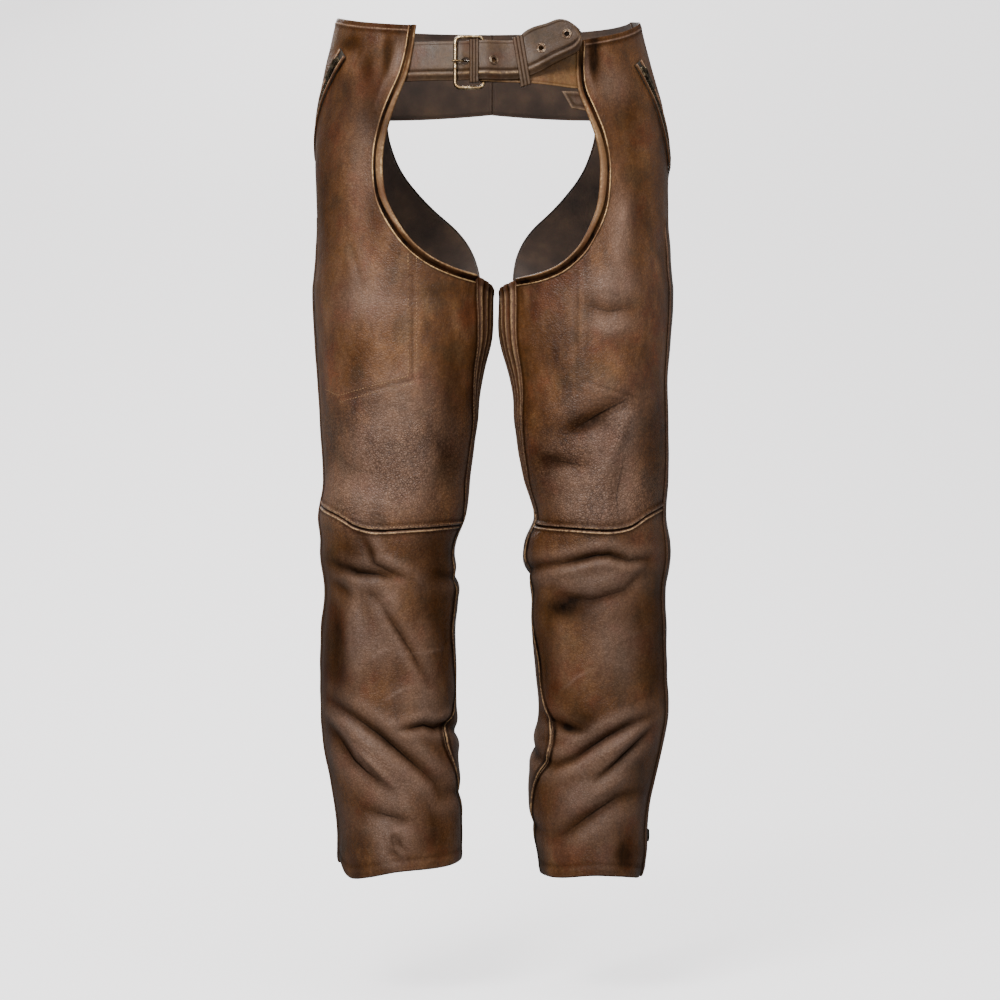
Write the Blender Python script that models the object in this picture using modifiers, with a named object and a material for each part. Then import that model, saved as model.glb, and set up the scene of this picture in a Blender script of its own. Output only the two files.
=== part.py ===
# Leather riding chaps with their own belt, in the hollow shape that they keep when worn.
#
# The scene is in metres, +Z up, with -Y to the front and +X to the wearer's left.
# The origin is the centre of the waist. The tables and sizes below are in millimetres and
# degrees, and each mesh is brought to metres as it is made.
# Every point of the legs lies on the skin: a section at each height, seen from above.
# An angle of 0 is the outermost point, -90 the front, 90 the back and 180 the inside.

from math import cos, exp, hypot, pi, radians, sin

import bmesh
import bpy
from mathutils import Matrix, Vector
from mathutils.bvhtree import BVHTree

MM = 0.001
SIDES = {"r": -1, "l": 1}

# Leather and other walls
LEATHER = 1.4
BINDING = 1.2
TAPE = 0.8
GAP = 0.3
SEAM_GAP = 0.5
SQUARENESS = 0.03

# Rows run down the legs: the front opening ends at CROTCH, the knee seam is at KNEE.
YOKE_ROW = 4
FLAP_ROW = 8
CROTCH = 12
KNEE = 20
HEM = 36
PLEAT_END = 0.55
THIGH_ROWS = (0, 1, 2, 3, 4, 5, 6, 7, 8, 9, 9.5, 10, 10.5, 11, 11.5, 12, 13, 14, 15, 16, 17, 18, 19, 20)
SHIN_ROWS = tuple(range(KNEE, HEM + 1))

# Angles of the seams at the outer side, and how far a worn leg is turned round from them
FRONT_EDGE_ANGLE = 16
BACK_EDGE_ANGLE = 30
FLAP_ANGLES = (FRONT_EDGE_ANGLE, -2, -20)
LEG_TURN = {"r": 14, "l": 0}
TURN_END_ROW = 8
TOP_RISE = {"height": 5.5, "angle": -10, "width": 25}
FRONT_COLUMNS = 13
BACK_COLUMNS = 9
YOKE_COLUMNS = 8
PLEATS = 6
PLEAT_DEPTH = 2.2

# z, then the reach of each leg's section to its outer and inner side, then front and back.
# Above the crotch the section is the body's, so its inner side is the far side of the body.
SECTION_COLUMNS = ("z", "outer_r", "inner_r", "outer_l", "inner_l", "front", "back")
SECTIONS = (
    (47, 170, -160, 160, -170, 104, 112),
    (-5, 181, -173, 173, -181, 112, 118),
    (-58, 190, -188, 188, -190, 118, 126),
    (-111, 194, -175, 194, -175, 119, 133),
    (-164, 193, -112, 194, -106, 114, 133),
    (-217, 192, -28, 195, -19, 110, 121),
    (-243, 194, -3, 196, 8, 108, 112),
    (-254, 195, -2, 197, 8, 107, 108),
    (-305, 194, 1, 195, 9, 104, 100),
    (-357, 190, 12, 192, 21, 101, 95),
    (-410, 187, 17, 193, 26, 96, 89),
    (-463, 184, 24, 192, 35, 90, 83),
    (-503, 190, 29, 190, 46, 88, 77),
    (-529, 187, 39, 194, 36, 84, 76),
    (-549, 187, 41, 194, 35, 82, 77),
    (-582, 183, 37, 189, 43, 80, 82),
    (-621, 186, 40, 190, 42, 77, 88),
    (-674, 187, 39, 190, 46, 74, 91),
    (-714, 186, 38, 192, 51, 74, 91),
    (-753, 183, 37, 187, 46, 73, 88),
    (-793, 176, 36, 178, 41, 73, 84),
    (-833, 170, 33, 170, 43, 74, 80),
    (-872, 168, 33, 168, 49, 77, 78),
    (-903, 165, 35, 163, 54, 79, 77),
)

# Row, then the height of that row at the outer side and at the inner seam
ROW_COLUMNS = ("row", "outer", "inner")
ROWS = (
    (0, 44, 15),
    (4, -58, -50),
    (8, -168, -160),
    (12, -286, -245),
    (14, -338, -310),
    (16, -388, -378),
    (18, -437, -446),
    (20, -485, -511),
    (24, -586, -606),
    (28, -687, -700),
    (32, -788, -794),
    (36, -889, -884),
)

# The edge of the front opening: row, then x and z on each side
OPENING_COLUMNS = ("row", "x_r", "z_r", "x_l", "z_l")
OPENING = (
    (0, 82, 22, 93, 6),
    (1, 86, -5, 92, -22),
    (2, 92, -32, 94, -47),
    (3, 102, -57, 103, -71),
    (4, 111, -83, 112, -96),
    (5, 117, -110, 117, -121),
    (6, 118, -137, 117, -146),
    (7, 114, -163, 114, -172),
    (8, 102, -188, 105, -196),
    (9, 86, -210, 92, -218),
    (10, 65, -227, 73, -235),
    (11, 40, -238, 50, -244),
    (12, 14, -244, 24, -248),
)

# The seam down the inner side: z, then its angle on each side
SEAM_COLUMNS = ("z", "angle_r", "angle_l")
SEAM = (
    (-243, -141, -143),
    (-294, -147, -144),
    (-347, -154, -148),
    (-396, -160, -153),
    (-452, -161, -158),
    (-490, -164, -163),
    (-511, -168, -162),
    (-560, -164, -164),
    (-610, -161, -168),
    (-660, -164, -157),
    (-695, -166, -157),
    (-718, -163, -151),
    (-738, -157, -146),
    (-758, -156, -144),
    (-778, -160, -148),
    (-802, -166, -157),
    (-835, -171, -166),
    (-890, -175, -172),
)

# The top edge of the back panel, from the yoke down to the inner thigh
SEAT_COLUMNS = ("row", "angle", "z")
SEAT_EDGE = (
    (4, 52, -56),
    (5, 55, -84),
    (6, 60, -110),
    (7, 68, -133),
    (8, 79, -155),
    (9, 94, -177),
    (10, 112, -201),
    (11, 134, -228),
    (12, 158, -259),
)

# Heights along the knee seam and the hem, by angle
KNEE_COLUMNS = ("angle", "z")
KNEE_SEAM = ((-168, -511), (-114, -515), (-82, -517), (-65, -513), (-47, -501), (-25, -493), (16, -485))
HEM_COLUMNS = ("angle", "z_r", "z_l")
HEM_LINE = (
    (-175, -879, -894),
    (-130, -882, -893),
    (-90, -885, -889),
    (-60, -892, -891),
    (-30, -896, -896),
    (16, -889, -889),
)

# The largest folds, as they lie on the front or the back of a leg
FOLD_COLUMNS = ("side", "face", "x0", "z0", "x1", "z1", "width", "depth")
FOLDS = (
    ("r", "front", 170, -554, 106, -571, 15, 5.4),
    ("r", "front", 141, -522, 88, -571, 14, 4.1),
    ("r", "front", 128, -587, 66, -686, 16, 4.1),
    ("r", "front", 170, -708, 56, -804, 16, 7.4),
    ("r", "front", 140, -752, 100, -790, 14, -4.1),
    ("r", "front", 132, -820, 83, -832, 14, 3.4),
    ("r", "back", 165, -545, 60, -560, 18, 6.1),
    ("r", "back", 170, -730, 60, -790, 18, 6.1),
    ("l", "front", 58, -554, 165, -550, 15, 5.4),
    ("l", "front", 66, -573, 150, -576, 15, -4.7),
    ("l", "front", 71, -590, 170, -560, 14, 4.1),
    ("l", "front", 163, -723, 65, -772, 16, 7.4),
    ("l", "front", 167, -738, 114, -784, 14, 4.1),
    ("l", "front", 156, -802, 73, -846, 15, 5.4),
    ("l", "back", 60, -548, 165, -562, 18, 6.1),
    ("l", "back", 62, -765, 165, -735, 18, 6.1),
)

# The slanted pockets: where the zip starts and ends
POCKET_TOP = {"r": (-30, -2), "l": (-28, -12)}
POCKET_END = {"r": (16, -125), "l": (-3, -135)}
POCKET_ROWS = 10
POCKET_TAPE_WIDTH = 17
LIP_WIDTH = 4
LIP_OFFSET = 6.5
LIP_LIFT = 2.6

# Section of the binding: how far into the panel from its edge, and how high above it
BINDING_SECTION = ((6.5, 2.3), (3, 2.5), (-0.8, 2.1), (-1.9, -1.4))
BINDING_END = 0.85

# Zip slider and pull tab
SLIDER_SIZE = (8.0, 11.0, 2.4)
BRIDGE_REACH = 2.9
BRIDGE_HEIGHT = 3.0
BRIDGE_RADIUS = 0.65
PULL_WIDTH = 6.4
PULL_LENGTH = 23.0
PULL_THICKNESS = 1.1
PULL_AXIS_HEIGHT = 1.15
PULL_REST_TILT = 3
PULL_WINDOW = (3.4, 0.6, 4.9)
LEG_SLIDER_ROW = 33.6
SNAP_ROW = 34.5
SNAP_ANGLE = {"r": 22, "l": 1}
SNAP_RADIUS = 7.0
SNAP_HEIGHT = 2.6
SNAP_GAP = 0.5

# Belt: where the innermost layer lies under the skin, and how far it leans back going up
BELT_HEIGHT = -19
BELT_WIDTH = 43
BELT_BASE = -4.3
BELT_LEAN = 0.125
STRAP = 2.4
BUCKLE_STRAP = 2.0
BUCKLE_STRAP_WIDTH = 42
KEEPER = 1.2

# Free strap: x and z of its middle, the layer of its inner face, its rise and share of width
STRAP_COLUMNS = ("x", "z", "layer", "rise", "width")
FREE_STRAP = (
    (-124, -17.6, -1.6, 0, 1),
    (-106, -17.6, -1.2, 0, 1),
    (-88, -17.7, -1.0, 0, 1),
    (-74, -17.8, -0.2, 0, 1),
    (-60, -17.9, 0, 0, 1),
    (-46, -18, 0, 0, 1),
    (-37, -18, 0, 0, 1),
    (-31, -18, 0.9, 0, 1),
    (-25.5, -18.1, 3.3, 0, 1),
    (-21.5, -18.1, 5.5, 0, 1),
    (-17, -18.2, 7.2, 0, 1),
    (-12, -18.2, 8.7, 0, 1),
    (-7.6, -18.2, 9.2, 0, 1),
    (-3.8, -18.3, 8.9, 0, 1),
    (8.2, -18.3, 4.8, 0, 1),
    (14, -18.1, 4.0, 0, 1),
    (22, -17.8, 3.8, 2, 1),
    (30, -16.6, 4.0, 9, 1),
    (38, -13.2, 5.2, 19, 1),
    (46.2, -9.0, 7.8, 29, 1),
    (58.8, -1.8, 13.2, 29, 1),
    (66, 1.8, 16.6, 30, 1),
    (73.6, 5.8, 20.0, 30, 1),
    (79.4, 9.0, 22.4, 30, 0.95),
    (84.4, 11.7, 24.4, 30, 0.82),
    (88.0, 13.6, 25.8, 30, 0.62),
    (90.4, 14.9, 26.7, 30, 0.36),
)

# Buckle strap: from the end of its return, round the bar, to its end under the panel
BAR_X = -8.6
BAR_LAYER = 3.95
FOLD_RADIUS = 3.75
RETURN_END = 16
BUCKLE_STRAP_RUN = (
    (-4.5, -20.2, 7.5),
    (1, -20.3, 4.9),
    (6, -20.4, 3.3),
    (12, -20.5, 2.6),
    (26, -20.8, 2.5),
    (45, -21.4, 2.3),
    (65, -23, 1.8),
    (84, -24.8, 0.9),
    (104, -26, 0.2),
    (126, -27, -0.2),
)

FRONT_BAR_X = -38.6
FRONT_BAR_LAYER = 4.8
FRAME_RADIUS = 2.1
FRAME_TOP = 7.4
FRAME_BOTTOM = -47.7
FRAME_CORNER = 5.0
PRONG_Z = -18.8
PRONG_RADIUS = 1.1
PRONG_HOOK_RADIUS = 3.45
# The prong from its hook on: how far from the bar, and how far out from it
PRONG_PATH = (
    (-3.4, 0.6),
    (-5.4, -0.5),
    (-9, -0.9),
    (-13, -0.9),
    (-17, -0.7),
    (-20.2, 0.2),
    (-23.2, 2.1),
    (-26.4, 3.9),
    (-30, 4.35),
    (-33.4, 4.2),
)
SLOT = (14.0, 6.0)
PRONG_HOLE = (-27.9, -18.8, 5.2, 3.9)
EYELETS = ((2.2, -18.4), (52.5, -5.2), (79.7, 9.2))
EYELET_BORE = 2.6
EYELET_BARREL = 3.3
EYELET_FLANGE = 5.2
EYELET_HOLE = 3.65
EYELET_PLATE = 0.7

# Keepers: across from the middle, the middle's x and z, how far the top stands left of the
# bottom, the climb across the width, half the height, and the layer of the back wall
KEEPER_INNER = {
    "columns": (-4.9, -2.9, 1.6, 4.9),
    "x": -18.6,
    "slant": 0,
    "z": -19.1,
    "climb": 0,
    "reach": 23.6,
    "back": 0.9,
}
KEEPER_OUTER = {
    "columns": (-5.3, 0, 5.3),
    "x": 31.5,
    "slant": 8.2,
    "z": -19.0,
    "climb": 0.35,
    "reach": 27.1,
    "back": 0.4,
}
KEEPER_CORNER = 1.2
KEEPER_GAP = 0.6
STAY_TOP = -49.2

LEATHER_BROWN = (0.093, 0.048, 0.024, 1)
LEATHER_DARK = (0.060, 0.031, 0.017, 1)
STRAP_BROWN = (0.118, 0.070, 0.042, 1)
BINDING_TAN = (0.300, 0.175, 0.085, 1)
TAPE_BLACK = (0.020, 0.018, 0.016, 1)
ANTIQUE_BRASS = (0.300, 0.215, 0.095, 1)
ENAMEL_BLACK = (0.012, 0.012, 0.012, 1)


def clear_scene():
    for item in list(bpy.data.objects):
        bpy.data.objects.remove(item)
    for name in ("leather_chaps", "cutters"):
        collection = bpy.data.collections.new(name)
        bpy.context.scene.collection.children.link(collection)
    bpy.data.collections["cutters"].hide_render = True


def material(name, colour, roughness, metallic=0.0):
    made = bpy.data.materials.new(name)
    made.use_nodes = True
    shader = made.node_tree.nodes["Principled BSDF"]
    shader.inputs["Base Color"].default_value = colour
    shader.inputs["Roughness"].default_value = roughness
    shader.inputs["Metallic"].default_value = metallic
    return made


def add_to(collection, obj):
    for holder in list(obj.users_collection):
        holder.objects.unlink(obj)
    bpy.data.collections[collection].objects.link(obj)


# --- curves through the tables -------------------------------------------------------------


def through(table, columns, name, at):
    """The smooth curve through one column of a table, read at a value of its first column."""
    column = columns.index(name)
    rows = table if table[0][0] < table[-1][0] else table[::-1]
    keys = [row[0] for row in rows]
    values = [row[column] for row in rows]
    at = min(max(at, keys[0]), keys[-1])
    i = max(j for j in range(len(keys) - 1) if keys[j] <= at)
    slopes = []
    for j in (i, i + 1):
        low, high = max(j - 1, 0), min(j + 1, len(keys) - 1)
        slopes.append((values[high] - values[low]) / (keys[high] - keys[low]))
    span = keys[i + 1] - keys[i]
    t = (at - keys[i]) / span
    blend = t * t * (3 - 2 * t)
    start = (t * t * t - 2 * t * t + t) * span * slopes[0]
    end = (t * t * t - t * t) * span * slopes[1]
    return values[i] * (1 - blend) + values[i + 1] * blend + start + end


def straight(table, columns, name, at):
    """One column of a table, read in straight lines between its rows."""
    column = columns.index(name)
    for row, after in zip(table, table[1:]):
        if at <= after[0] or after is table[-1]:
            return mix(row[column], after[column], (at - row[0]) / (after[0] - row[0]))


def mix(a, b, share):
    return a + (b - a) * share


# --- the skin ------------------------------------------------------------------------------


def section(side, z):
    """The middle, half width, front and back of a leg's section at this height."""
    outer = through(SECTIONS, SECTION_COLUMNS, "outer_" + side, z)
    inner = through(SECTIONS, SECTION_COLUMNS, "inner_" + side, z)
    front = through(SECTIONS, SECTION_COLUMNS, "front", z)
    back = through(SECTIONS, SECTION_COLUMNS, "back", z)
    return (outer + inner) / 2, (outer - inner) / 2, front, back


def fold_depth(side, face, x, z):
    """How far the folds press the skin in at this point, which is negative on a ridge."""
    depth = 0.0
    for row in FOLDS:
        fold = dict(zip(FOLD_COLUMNS, row))
        if (fold["side"], fold["face"]) != (side, face):
            continue
        run_x, run_z = fold["x1"] - fold["x0"], fold["z1"] - fold["z0"]
        share = ((x - fold["x0"]) * run_x + (z - fold["z0"]) * run_z) / (run_x**2 + run_z**2)
        share = min(max(share, 0), 1)
        away = hypot(x - fold["x0"] - share * run_x, z - fold["z0"] - share * run_z)
        fade = sin(pi * (0.1 + 0.8 * share))
        depth += fold["depth"] * fade * exp(-((away / fold["width"]) ** 2))
    return depth


def skin(side, angle, z, lift=0.0):
    """The point of the skin at this angle and height, moved out along the normal by lift."""
    point = skin_point(side, angle, z)
    if lift:
        point += skin_normal(side, angle, z) * lift
    return point


def skin_point(side, angle, z):
    middle, half_width, front, back = section(side, z)
    turn = radians(angle)
    square = 1 + SQUARENESS * sin(2 * turn) ** 2
    x = half_width * cos(turn) * square
    y = (front if sin(turn) < 0 else back) * sin(turn) * square
    pressed = fold_depth(side, "front" if sin(turn) < 0 else "back", middle + x, z) * abs(sin(turn))
    reach = hypot(x, y)
    x, y = x * (1 - pressed / reach), y * (1 - pressed / reach)
    return Vector((SIDES[side] * (middle + x), y, z))


def skin_normal(side, angle, z):
    around = skin_point(side, angle + 0.5, z) - skin_point(side, angle - 0.5, z)
    down = skin_point(side, angle, z - 1) - skin_point(side, angle, z + 1)
    return (around.cross(down) * -SIDES[side]).normalized()


def angle_at(side, x, z, inside=-180.0):
    """The angle at which the skin is this far from the middle plane, on the front or back."""
    middle, half_width, _, _ = section(side, z)
    low, high = inside, 0.0
    for _ in range(24):
        angle = (low + high) / 2
        turn = radians(angle)
        if middle + half_width * cos(turn) * (1 + SQUARENESS * sin(2 * turn) ** 2) < x:
            low = angle
        else:
            high = angle
    return (low + high) / 2


def beside(side, angle, z, distance):
    """The angle that lies this far along the skin from an angle, at the same height."""
    step = (skin_point(side, angle + 0.5, z) - skin_point(side, angle - 0.5, z)).length
    return angle + distance / step


# --- where the panels' edges run -------------------------------------------------------------


def leg_turn(side, row):
    """How many degrees the outer seams of a leg are turned to the back at this row."""
    share = min(row / TURN_END_ROW, 1)
    return LEG_TURN[side] * share * share * (3 - 2 * share)


def top_rise(row, angle):
    """How far the top edge rises towards the outer side, less on the rows below it."""
    near = exp(-(((angle - TOP_RISE["angle"]) / TOP_RISE["width"]) ** 2))
    return TOP_RISE["height"] * near * max(1 - row / YOKE_ROW, 0) ** 2


def row_height(row, edge):
    return through(ROWS, ROW_COLUMNS, edge, row)


def inner_height(side, row):
    """Height of a row at the inner seam, drawn to the hem line below the knee."""
    z = row_height(row, "inner")
    if row > KNEE:
        hem = through(HEM_LINE, HEM_COLUMNS, "z_" + side, HEM_LINE[0][0])
        z += ((row - KNEE) / (HEM - KNEE)) ** 2 * (hem - row_height(HEM, "inner"))
    return z


def seam_angle(side, z):
    return through(SEAM, SEAM_COLUMNS, "angle_" + side, z)


def front_edge(side, row):
    """Angle and height of the front panels' inner edge: the opening, then the inner seam."""
    if row <= CROTCH:
        x = through(OPENING, OPENING_COLUMNS, "x_" + side, row)
        z = through(OPENING, OPENING_COLUMNS, "z_" + side, row)
        return angle_at(side, x, z), z
    z = inner_height(side, row)
    return seam_angle(side, z), z


def pleat_span(row):
    """How many degrees of the inner thigh the pleated panel takes up at this row."""
    return max(0.0, through(((12, 60), (19, 10), (20, 0)), ("row", "span"), "span", row))


def back_edge(side, row):
    """Angle and height of the back panel's inner edge: the seat edge, then the inner seam."""
    if row <= CROTCH:
        return (
            through(SEAT_EDGE, SEAT_COLUMNS, "angle", row),
            through(SEAT_EDGE, SEAT_COLUMNS, "z", row),
        )
    z = inner_height(side, row)
    if row < KNEE:
        z -= 14 * (KNEE - row) / (KNEE - CROTCH)
        return 360 + seam_angle(side, z) - pleat_span(row), z
    return 360 + seam_angle(side, z), z


def front_point(side, row, angle, gap=0.0):
    """Height of a front panel's row at this angle, bent to the knee seam and to the hem."""
    end_angle, end_z = front_edge(side, row)
    start_angle = FRONT_EDGE_ANGLE + leg_turn(side, row)
    share = (start_angle - angle) / (start_angle - end_angle)
    z = mix(row_height(row, "outer"), end_z, share) + top_rise(row, angle)
    if row > CROTCH:
        knee = through(KNEE_SEAM, KNEE_COLUMNS, "z", angle)
        knee_row = mix(row_height(KNEE, "outer"), front_edge(side, KNEE)[1], share)
        near = 1 - min(abs(row - KNEE) / (KNEE - CROTCH), 1)
        z += near**2 * (knee - knee_row)
    if row > KNEE:
        hem = through(HEM_LINE, HEM_COLUMNS, "z_" + side, angle)
        hem_row = mix(row_height(HEM, "outer"), inner_height(side, HEM), share)
        z += ((row - KNEE) / (HEM - KNEE)) ** 2 * (hem - hem_row)
    return z - gap


def front_angle(side, row, column):
    """Angle of a column of the front panels: the flap's columns are fixed, the rest spread."""
    if column < len(FLAP_ANGLES):
        return FLAP_ANGLES[column] + leg_turn(side, row)
    last = len(FLAP_ANGLES) - 1
    share = (column - last) / (FRONT_COLUMNS - last)
    return mix(FLAP_ANGLES[last] + leg_turn(side, row), front_edge(side, row)[0], share)


# --- meshes ----------------------------------------------------------------------------------


def finish_mesh(name, mesh, look, sharp=40):
    mesh.shade_smooth()
    mesh.set_sharp_from_angle(angle=radians(sharp))
    mesh.materials.append(look)
    obj = bpy.data.objects.new(name, mesh)
    bpy.data.collections["leather_chaps"].objects.link(obj)
    return obj


def sheet(name, columns, rows, place, centre, look, thickness, grow=-1):
    """A grid whose vertices are put in place by column and row, given a wall by Solidify.
    centre gives the point that a vertex's face looks away from."""
    bm = bmesh.new()
    bmesh.ops.create_grid(bm, x_segments=columns, y_segments=rows, size=1)
    for vert in bm.verts:
        column = round((vert.co.x + 1) / 2 * columns)
        row = round((vert.co.y + 1) / 2 * rows)
        vert.co = place(column, row) * MM
    bm.normal_update()
    facing = 0.0
    for face in bm.faces:
        middle = face.calc_center_median()
        facing += face.normal.dot(middle - centre(middle))
    if facing < 0:
        bmesh.ops.reverse_faces(bm, faces=bm.faces)
    mesh = bpy.data.meshes.new(name)
    bm.to_mesh(mesh)
    bm.free()
    obj = finish_mesh(name, mesh, look)
    wall = obj.modifiers.new("wall", "SOLIDIFY")
    wall.thickness = thickness * MM
    wall.offset = grow
    wall.use_even_offset = True
    return obj


def faces_of(obj):
    bpy.context.view_layer.update()
    return BVHTree.FromObject(obj, bpy.context.evaluated_depsgraph_get())


def on_faces(faces, point, normal):
    """Where a line along the normal through this point first meets the faces from outside."""
    found = faces.ray_cast((point + normal * 15) * MM, -normal)[0]
    return found / MM if found else point


def leg_centre(side):
    def centre(point):
        middle = section(side, point.z / MM)[0]
        return Vector((SIDES[side] * middle * MM, 0, point.z))

    return centre


def body_centre(point):
    return Vector((0, 0, point.z))


# --- leather panels --------------------------------------------------------------------------


def front_panel(name, side, rows, look):
    def place(column, step):
        row = rows[step]
        angle = front_angle(side, row, column)
        if column == FRONT_COLUMNS:
            z = front_point(side, row, angle)
            angle = beside(side, angle, z, SEAM_GAP / 2) if row >= CROTCH else angle
        if column == 0:
            z = front_point(side, row, angle)
            angle = beside(side, angle, z, -SEAM_GAP / 2)
        below = SEAM_GAP / 2 if row == KNEE == rows[0] else 0
        above = SEAM_GAP / 2 if row == KNEE == rows[-1] else 0
        return skin(side, angle, front_point(side, row, angle, below - above))

    return sheet(name, FRONT_COLUMNS, len(rows) - 1, place, leg_centre(side), look, LEATHER)


def back_leg(side, look):
    def place(column, step):
        row = YOKE_ROW + step
        end_angle, end_z = back_edge(side, row)
        share = column / BACK_COLUMNS
        angle = mix(BACK_EDGE_ANGLE + leg_turn(side, row), end_angle, share)
        z = mix(row_height(row, "outer"), end_z, share)
        if row == YOKE_ROW:
            z = yoke_bottom(angle) - SEAM_GAP
        if column == 0:
            angle = beside(side, angle, z, SEAM_GAP / 2)
        if column == BACK_COLUMNS:
            angle = beside(side, angle, z, -SEAM_GAP / 2)
        return skin(side, angle, z)

    return sheet("back_leg_" + side, BACK_COLUMNS, HEM - YOKE_ROW, place, leg_centre(side), look, LEATHER)


def inner_thigh(side, look):
    columns = 2 * PLEATS + 2
    last = KNEE - CROTCH

    def place(column, step):
        if step == last:
            return corner(column, KNEE - 1).lerp(corner(column, KNEE), PLEAT_END)
        return corner(column, CROTCH + step)

    def corner(column, row):
        front_angle_here, front_z = front_edge(side, row)
        back_angle_here, back_z = back_edge(side, row)
        share = column / columns
        z = mix(front_z, back_z, share)
        start = beside(side, front_angle_here, front_z, -SEAM_GAP / 2)
        end = beside(side, back_angle_here - 360, back_z, SEAM_GAP / 2)
        fade = 1 - (row - CROTCH) / (KNEE - CROTCH)
        sunk = column % 2 == 0 and 0 < column < columns
        return skin(side, mix(start, end, share), z, -PLEAT_DEPTH * fade * sunk)

    return sheet("inner_thigh_" + side, columns, last, place, leg_centre(side), look, LEATHER)


def yoke_bottom(angle):
    return row_height(YOKE_ROW, "outer") + 12 * ((angle - FRONT_EDGE_ANGLE) / 74) ** 2


def back_yoke(side, look):
    def place(column, row):
        share = column / YOKE_COLUMNS
        drop = 0.0
        for _ in range(3):
            z = row_height(row, "outer") + drop
            back_middle = angle_at(side, SEAM_GAP / 2, z, 180.0)
            angle = mix(FRONT_EDGE_ANGLE + leg_turn(side, row), back_middle, share)
            drop = row / YOKE_ROW * (yoke_bottom(angle) - row_height(YOKE_ROW, "outer"))
            drop += top_rise(row, angle)
        if column == 0:
            angle = beside(side, angle, z, SEAM_GAP / 2)
        return skin(side, angle, z)

    return sheet("back_yoke_" + side, YOKE_COLUMNS, YOKE_ROW, place, body_centre, look, LEATHER)


def edge_binding(side, panel, look):
    """The folded strip along the front opening, laid on the panel's own faces."""
    rows = [row for row in THIGH_ROWS if row <= CROTCH]
    corners = {row: skin(side, *front_edge(side, row)) for row in rows}
    corners[CROTCH] = corners[rows[-2]].lerp(corners[CROTCH], BINDING_END)
    edge, normals = [], []
    for row, after in zip(rows, rows[1:]):
        for share in (0, 0.5):
            edge.append(corners[row].lerp(corners[after], share))
            normals.append(skin_normal(side, *front_edge(side, mix(row, after, share))))
    edge.append(corners[CROTCH])
    normals.append(normals[-1])
    faces = faces_of(panel)

    def place(column, step):
        into, lift = BINDING_SECTION[column]
        along = edge[min(step + 1, len(edge) - 1)] - edge[max(step - 1, 0)]
        normal = normals[step]
        across = normal.cross(along).normalized() * SIDES[side]
        point = edge[step] + across * into
        if into > 0:
            point = on_faces(faces, point, normal)
        return point + normal * lift

    columns = len(BINDING_SECTION) - 1
    return sheet("edge_binding_" + side, columns, len(edge) - 1, place, leg_centre(side), look, BINDING)


def zip_flap(side, look):
    rows = [row for row in THIGH_ROWS if row >= FLAP_ROW] + list(SHIN_ROWS[1:])

    def place(column, step):
        row = rows[step]
        angle = FLAP_ANGLES[column] + leg_turn(side, row)
        return skin(side, angle, front_point(side, row, angle), GAP + LEATHER)

    return sheet(
        "zip_flap_" + side, len(FLAP_ANGLES) - 1, len(rows) - 1, place, leg_centre(side), look, LEATHER
    )


def leg_zip(side, look):
    def place(column, step):
        row = YOKE_ROW + step
        z = row_height(row, "outer") - (SEAM_GAP if row == YOKE_ROW else 0)
        turn = leg_turn(side, row)
        start = beside(side, FRONT_EDGE_ANGLE + turn, z, SEAM_GAP / 2)
        end = beside(side, BACK_EDGE_ANGLE + turn, z, -SEAM_GAP / 2)
        angle = mix(start, end, column / 2)
        if row == YOKE_ROW:
            z = yoke_bottom(angle) - SEAM_GAP
        return skin(side, angle, z)

    return sheet("leg_zip_" + side, 2, HEM - YOKE_ROW, place, leg_centre(side), look, LEATHER)


# --- pockets ---------------------------------------------------------------------------------


def pocket_point(side, share, across=0.0, lift=0.0):
    """A point on the pocket's line, share of the way down it and so far towards the back."""
    angle = mix(POCKET_TOP[side][0], POCKET_END[side][0], share)
    z = mix(POCKET_TOP[side][1], POCKET_END[side][1], share)
    ahead, behind = pocket_line(side, share + 0.02), pocket_line(side, share - 0.02)
    direction = (ahead - behind).normalized()
    normal = skin_normal(side, angle, z)
    sideways = normal.cross(direction)
    around = skin_point(side, angle + 0.5, z) - skin_point(side, angle - 0.5, z)
    if sideways.dot(around) < 0:
        sideways = -sideways
    angle += across * sideways.dot(around) / around.length_squared
    return skin(side, angle, z + across * sideways.z, lift)


def pocket_line(side, share):
    top, end = POCKET_TOP[side], POCKET_END[side]
    return skin_point(side, mix(top[0], end[0], share), mix(top[1], end[1], share))


def pocket_strip(name, side, middle, width, lift, thickness, look):
    def place(column, step):
        across = middle + width * (column / 2 - 0.5)
        return pocket_point(side, step / POCKET_ROWS, across, lift)

    return sheet(name, 2, POCKET_ROWS, place, leg_centre(side), look, thickness)


def pocket(side, tape_look, lip_look):
    tape_top = 0.5 + TAPE
    pocket_strip("pocket_tape_" + side, side, 0, POCKET_TAPE_WIDTH, tape_top, TAPE, tape_look)
    for name, middle in (("pocket_lip_front_", -LIP_OFFSET), ("pocket_lip_back_", LIP_OFFSET)):
        pocket_strip(name + side, side, middle, LIP_WIDTH, LIP_LIFT, LIP_LIFT - tape_top - GAP, lip_look)


# --- hard pieces -----------------------------------------------------------------------------


def frame_matrix(origin, across, up, out):
    """A placement whose X, Y and Z run across, up and out at the origin."""
    rotation = Matrix((across, up, out)).transposed().to_4x4()
    return Matrix.Translation(origin * MM) @ rotation


def mesh_of(curve_object, name):
    """The curve's shape as a mesh object in the same place, with its caps welded on."""
    bpy.context.view_layer.update()
    graph = bpy.context.evaluated_depsgraph_get()
    mesh = bpy.data.meshes.new_from_object(curve_object.evaluated_get(graph))
    bm = bmesh.new()
    bm.from_mesh(mesh)
    bmesh.ops.remove_doubles(bm, verts=bm.verts, dist=0.00001)
    bmesh.ops.recalc_face_normals(bm, faces=bm.faces)
    bm.to_mesh(mesh)
    bm.free()
    mesh.materials.clear()
    made = bpy.data.objects.new(name, mesh)
    made.matrix_world = curve_object.matrix_world
    bpy.data.objects.remove(curve_object)
    return made


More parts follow.
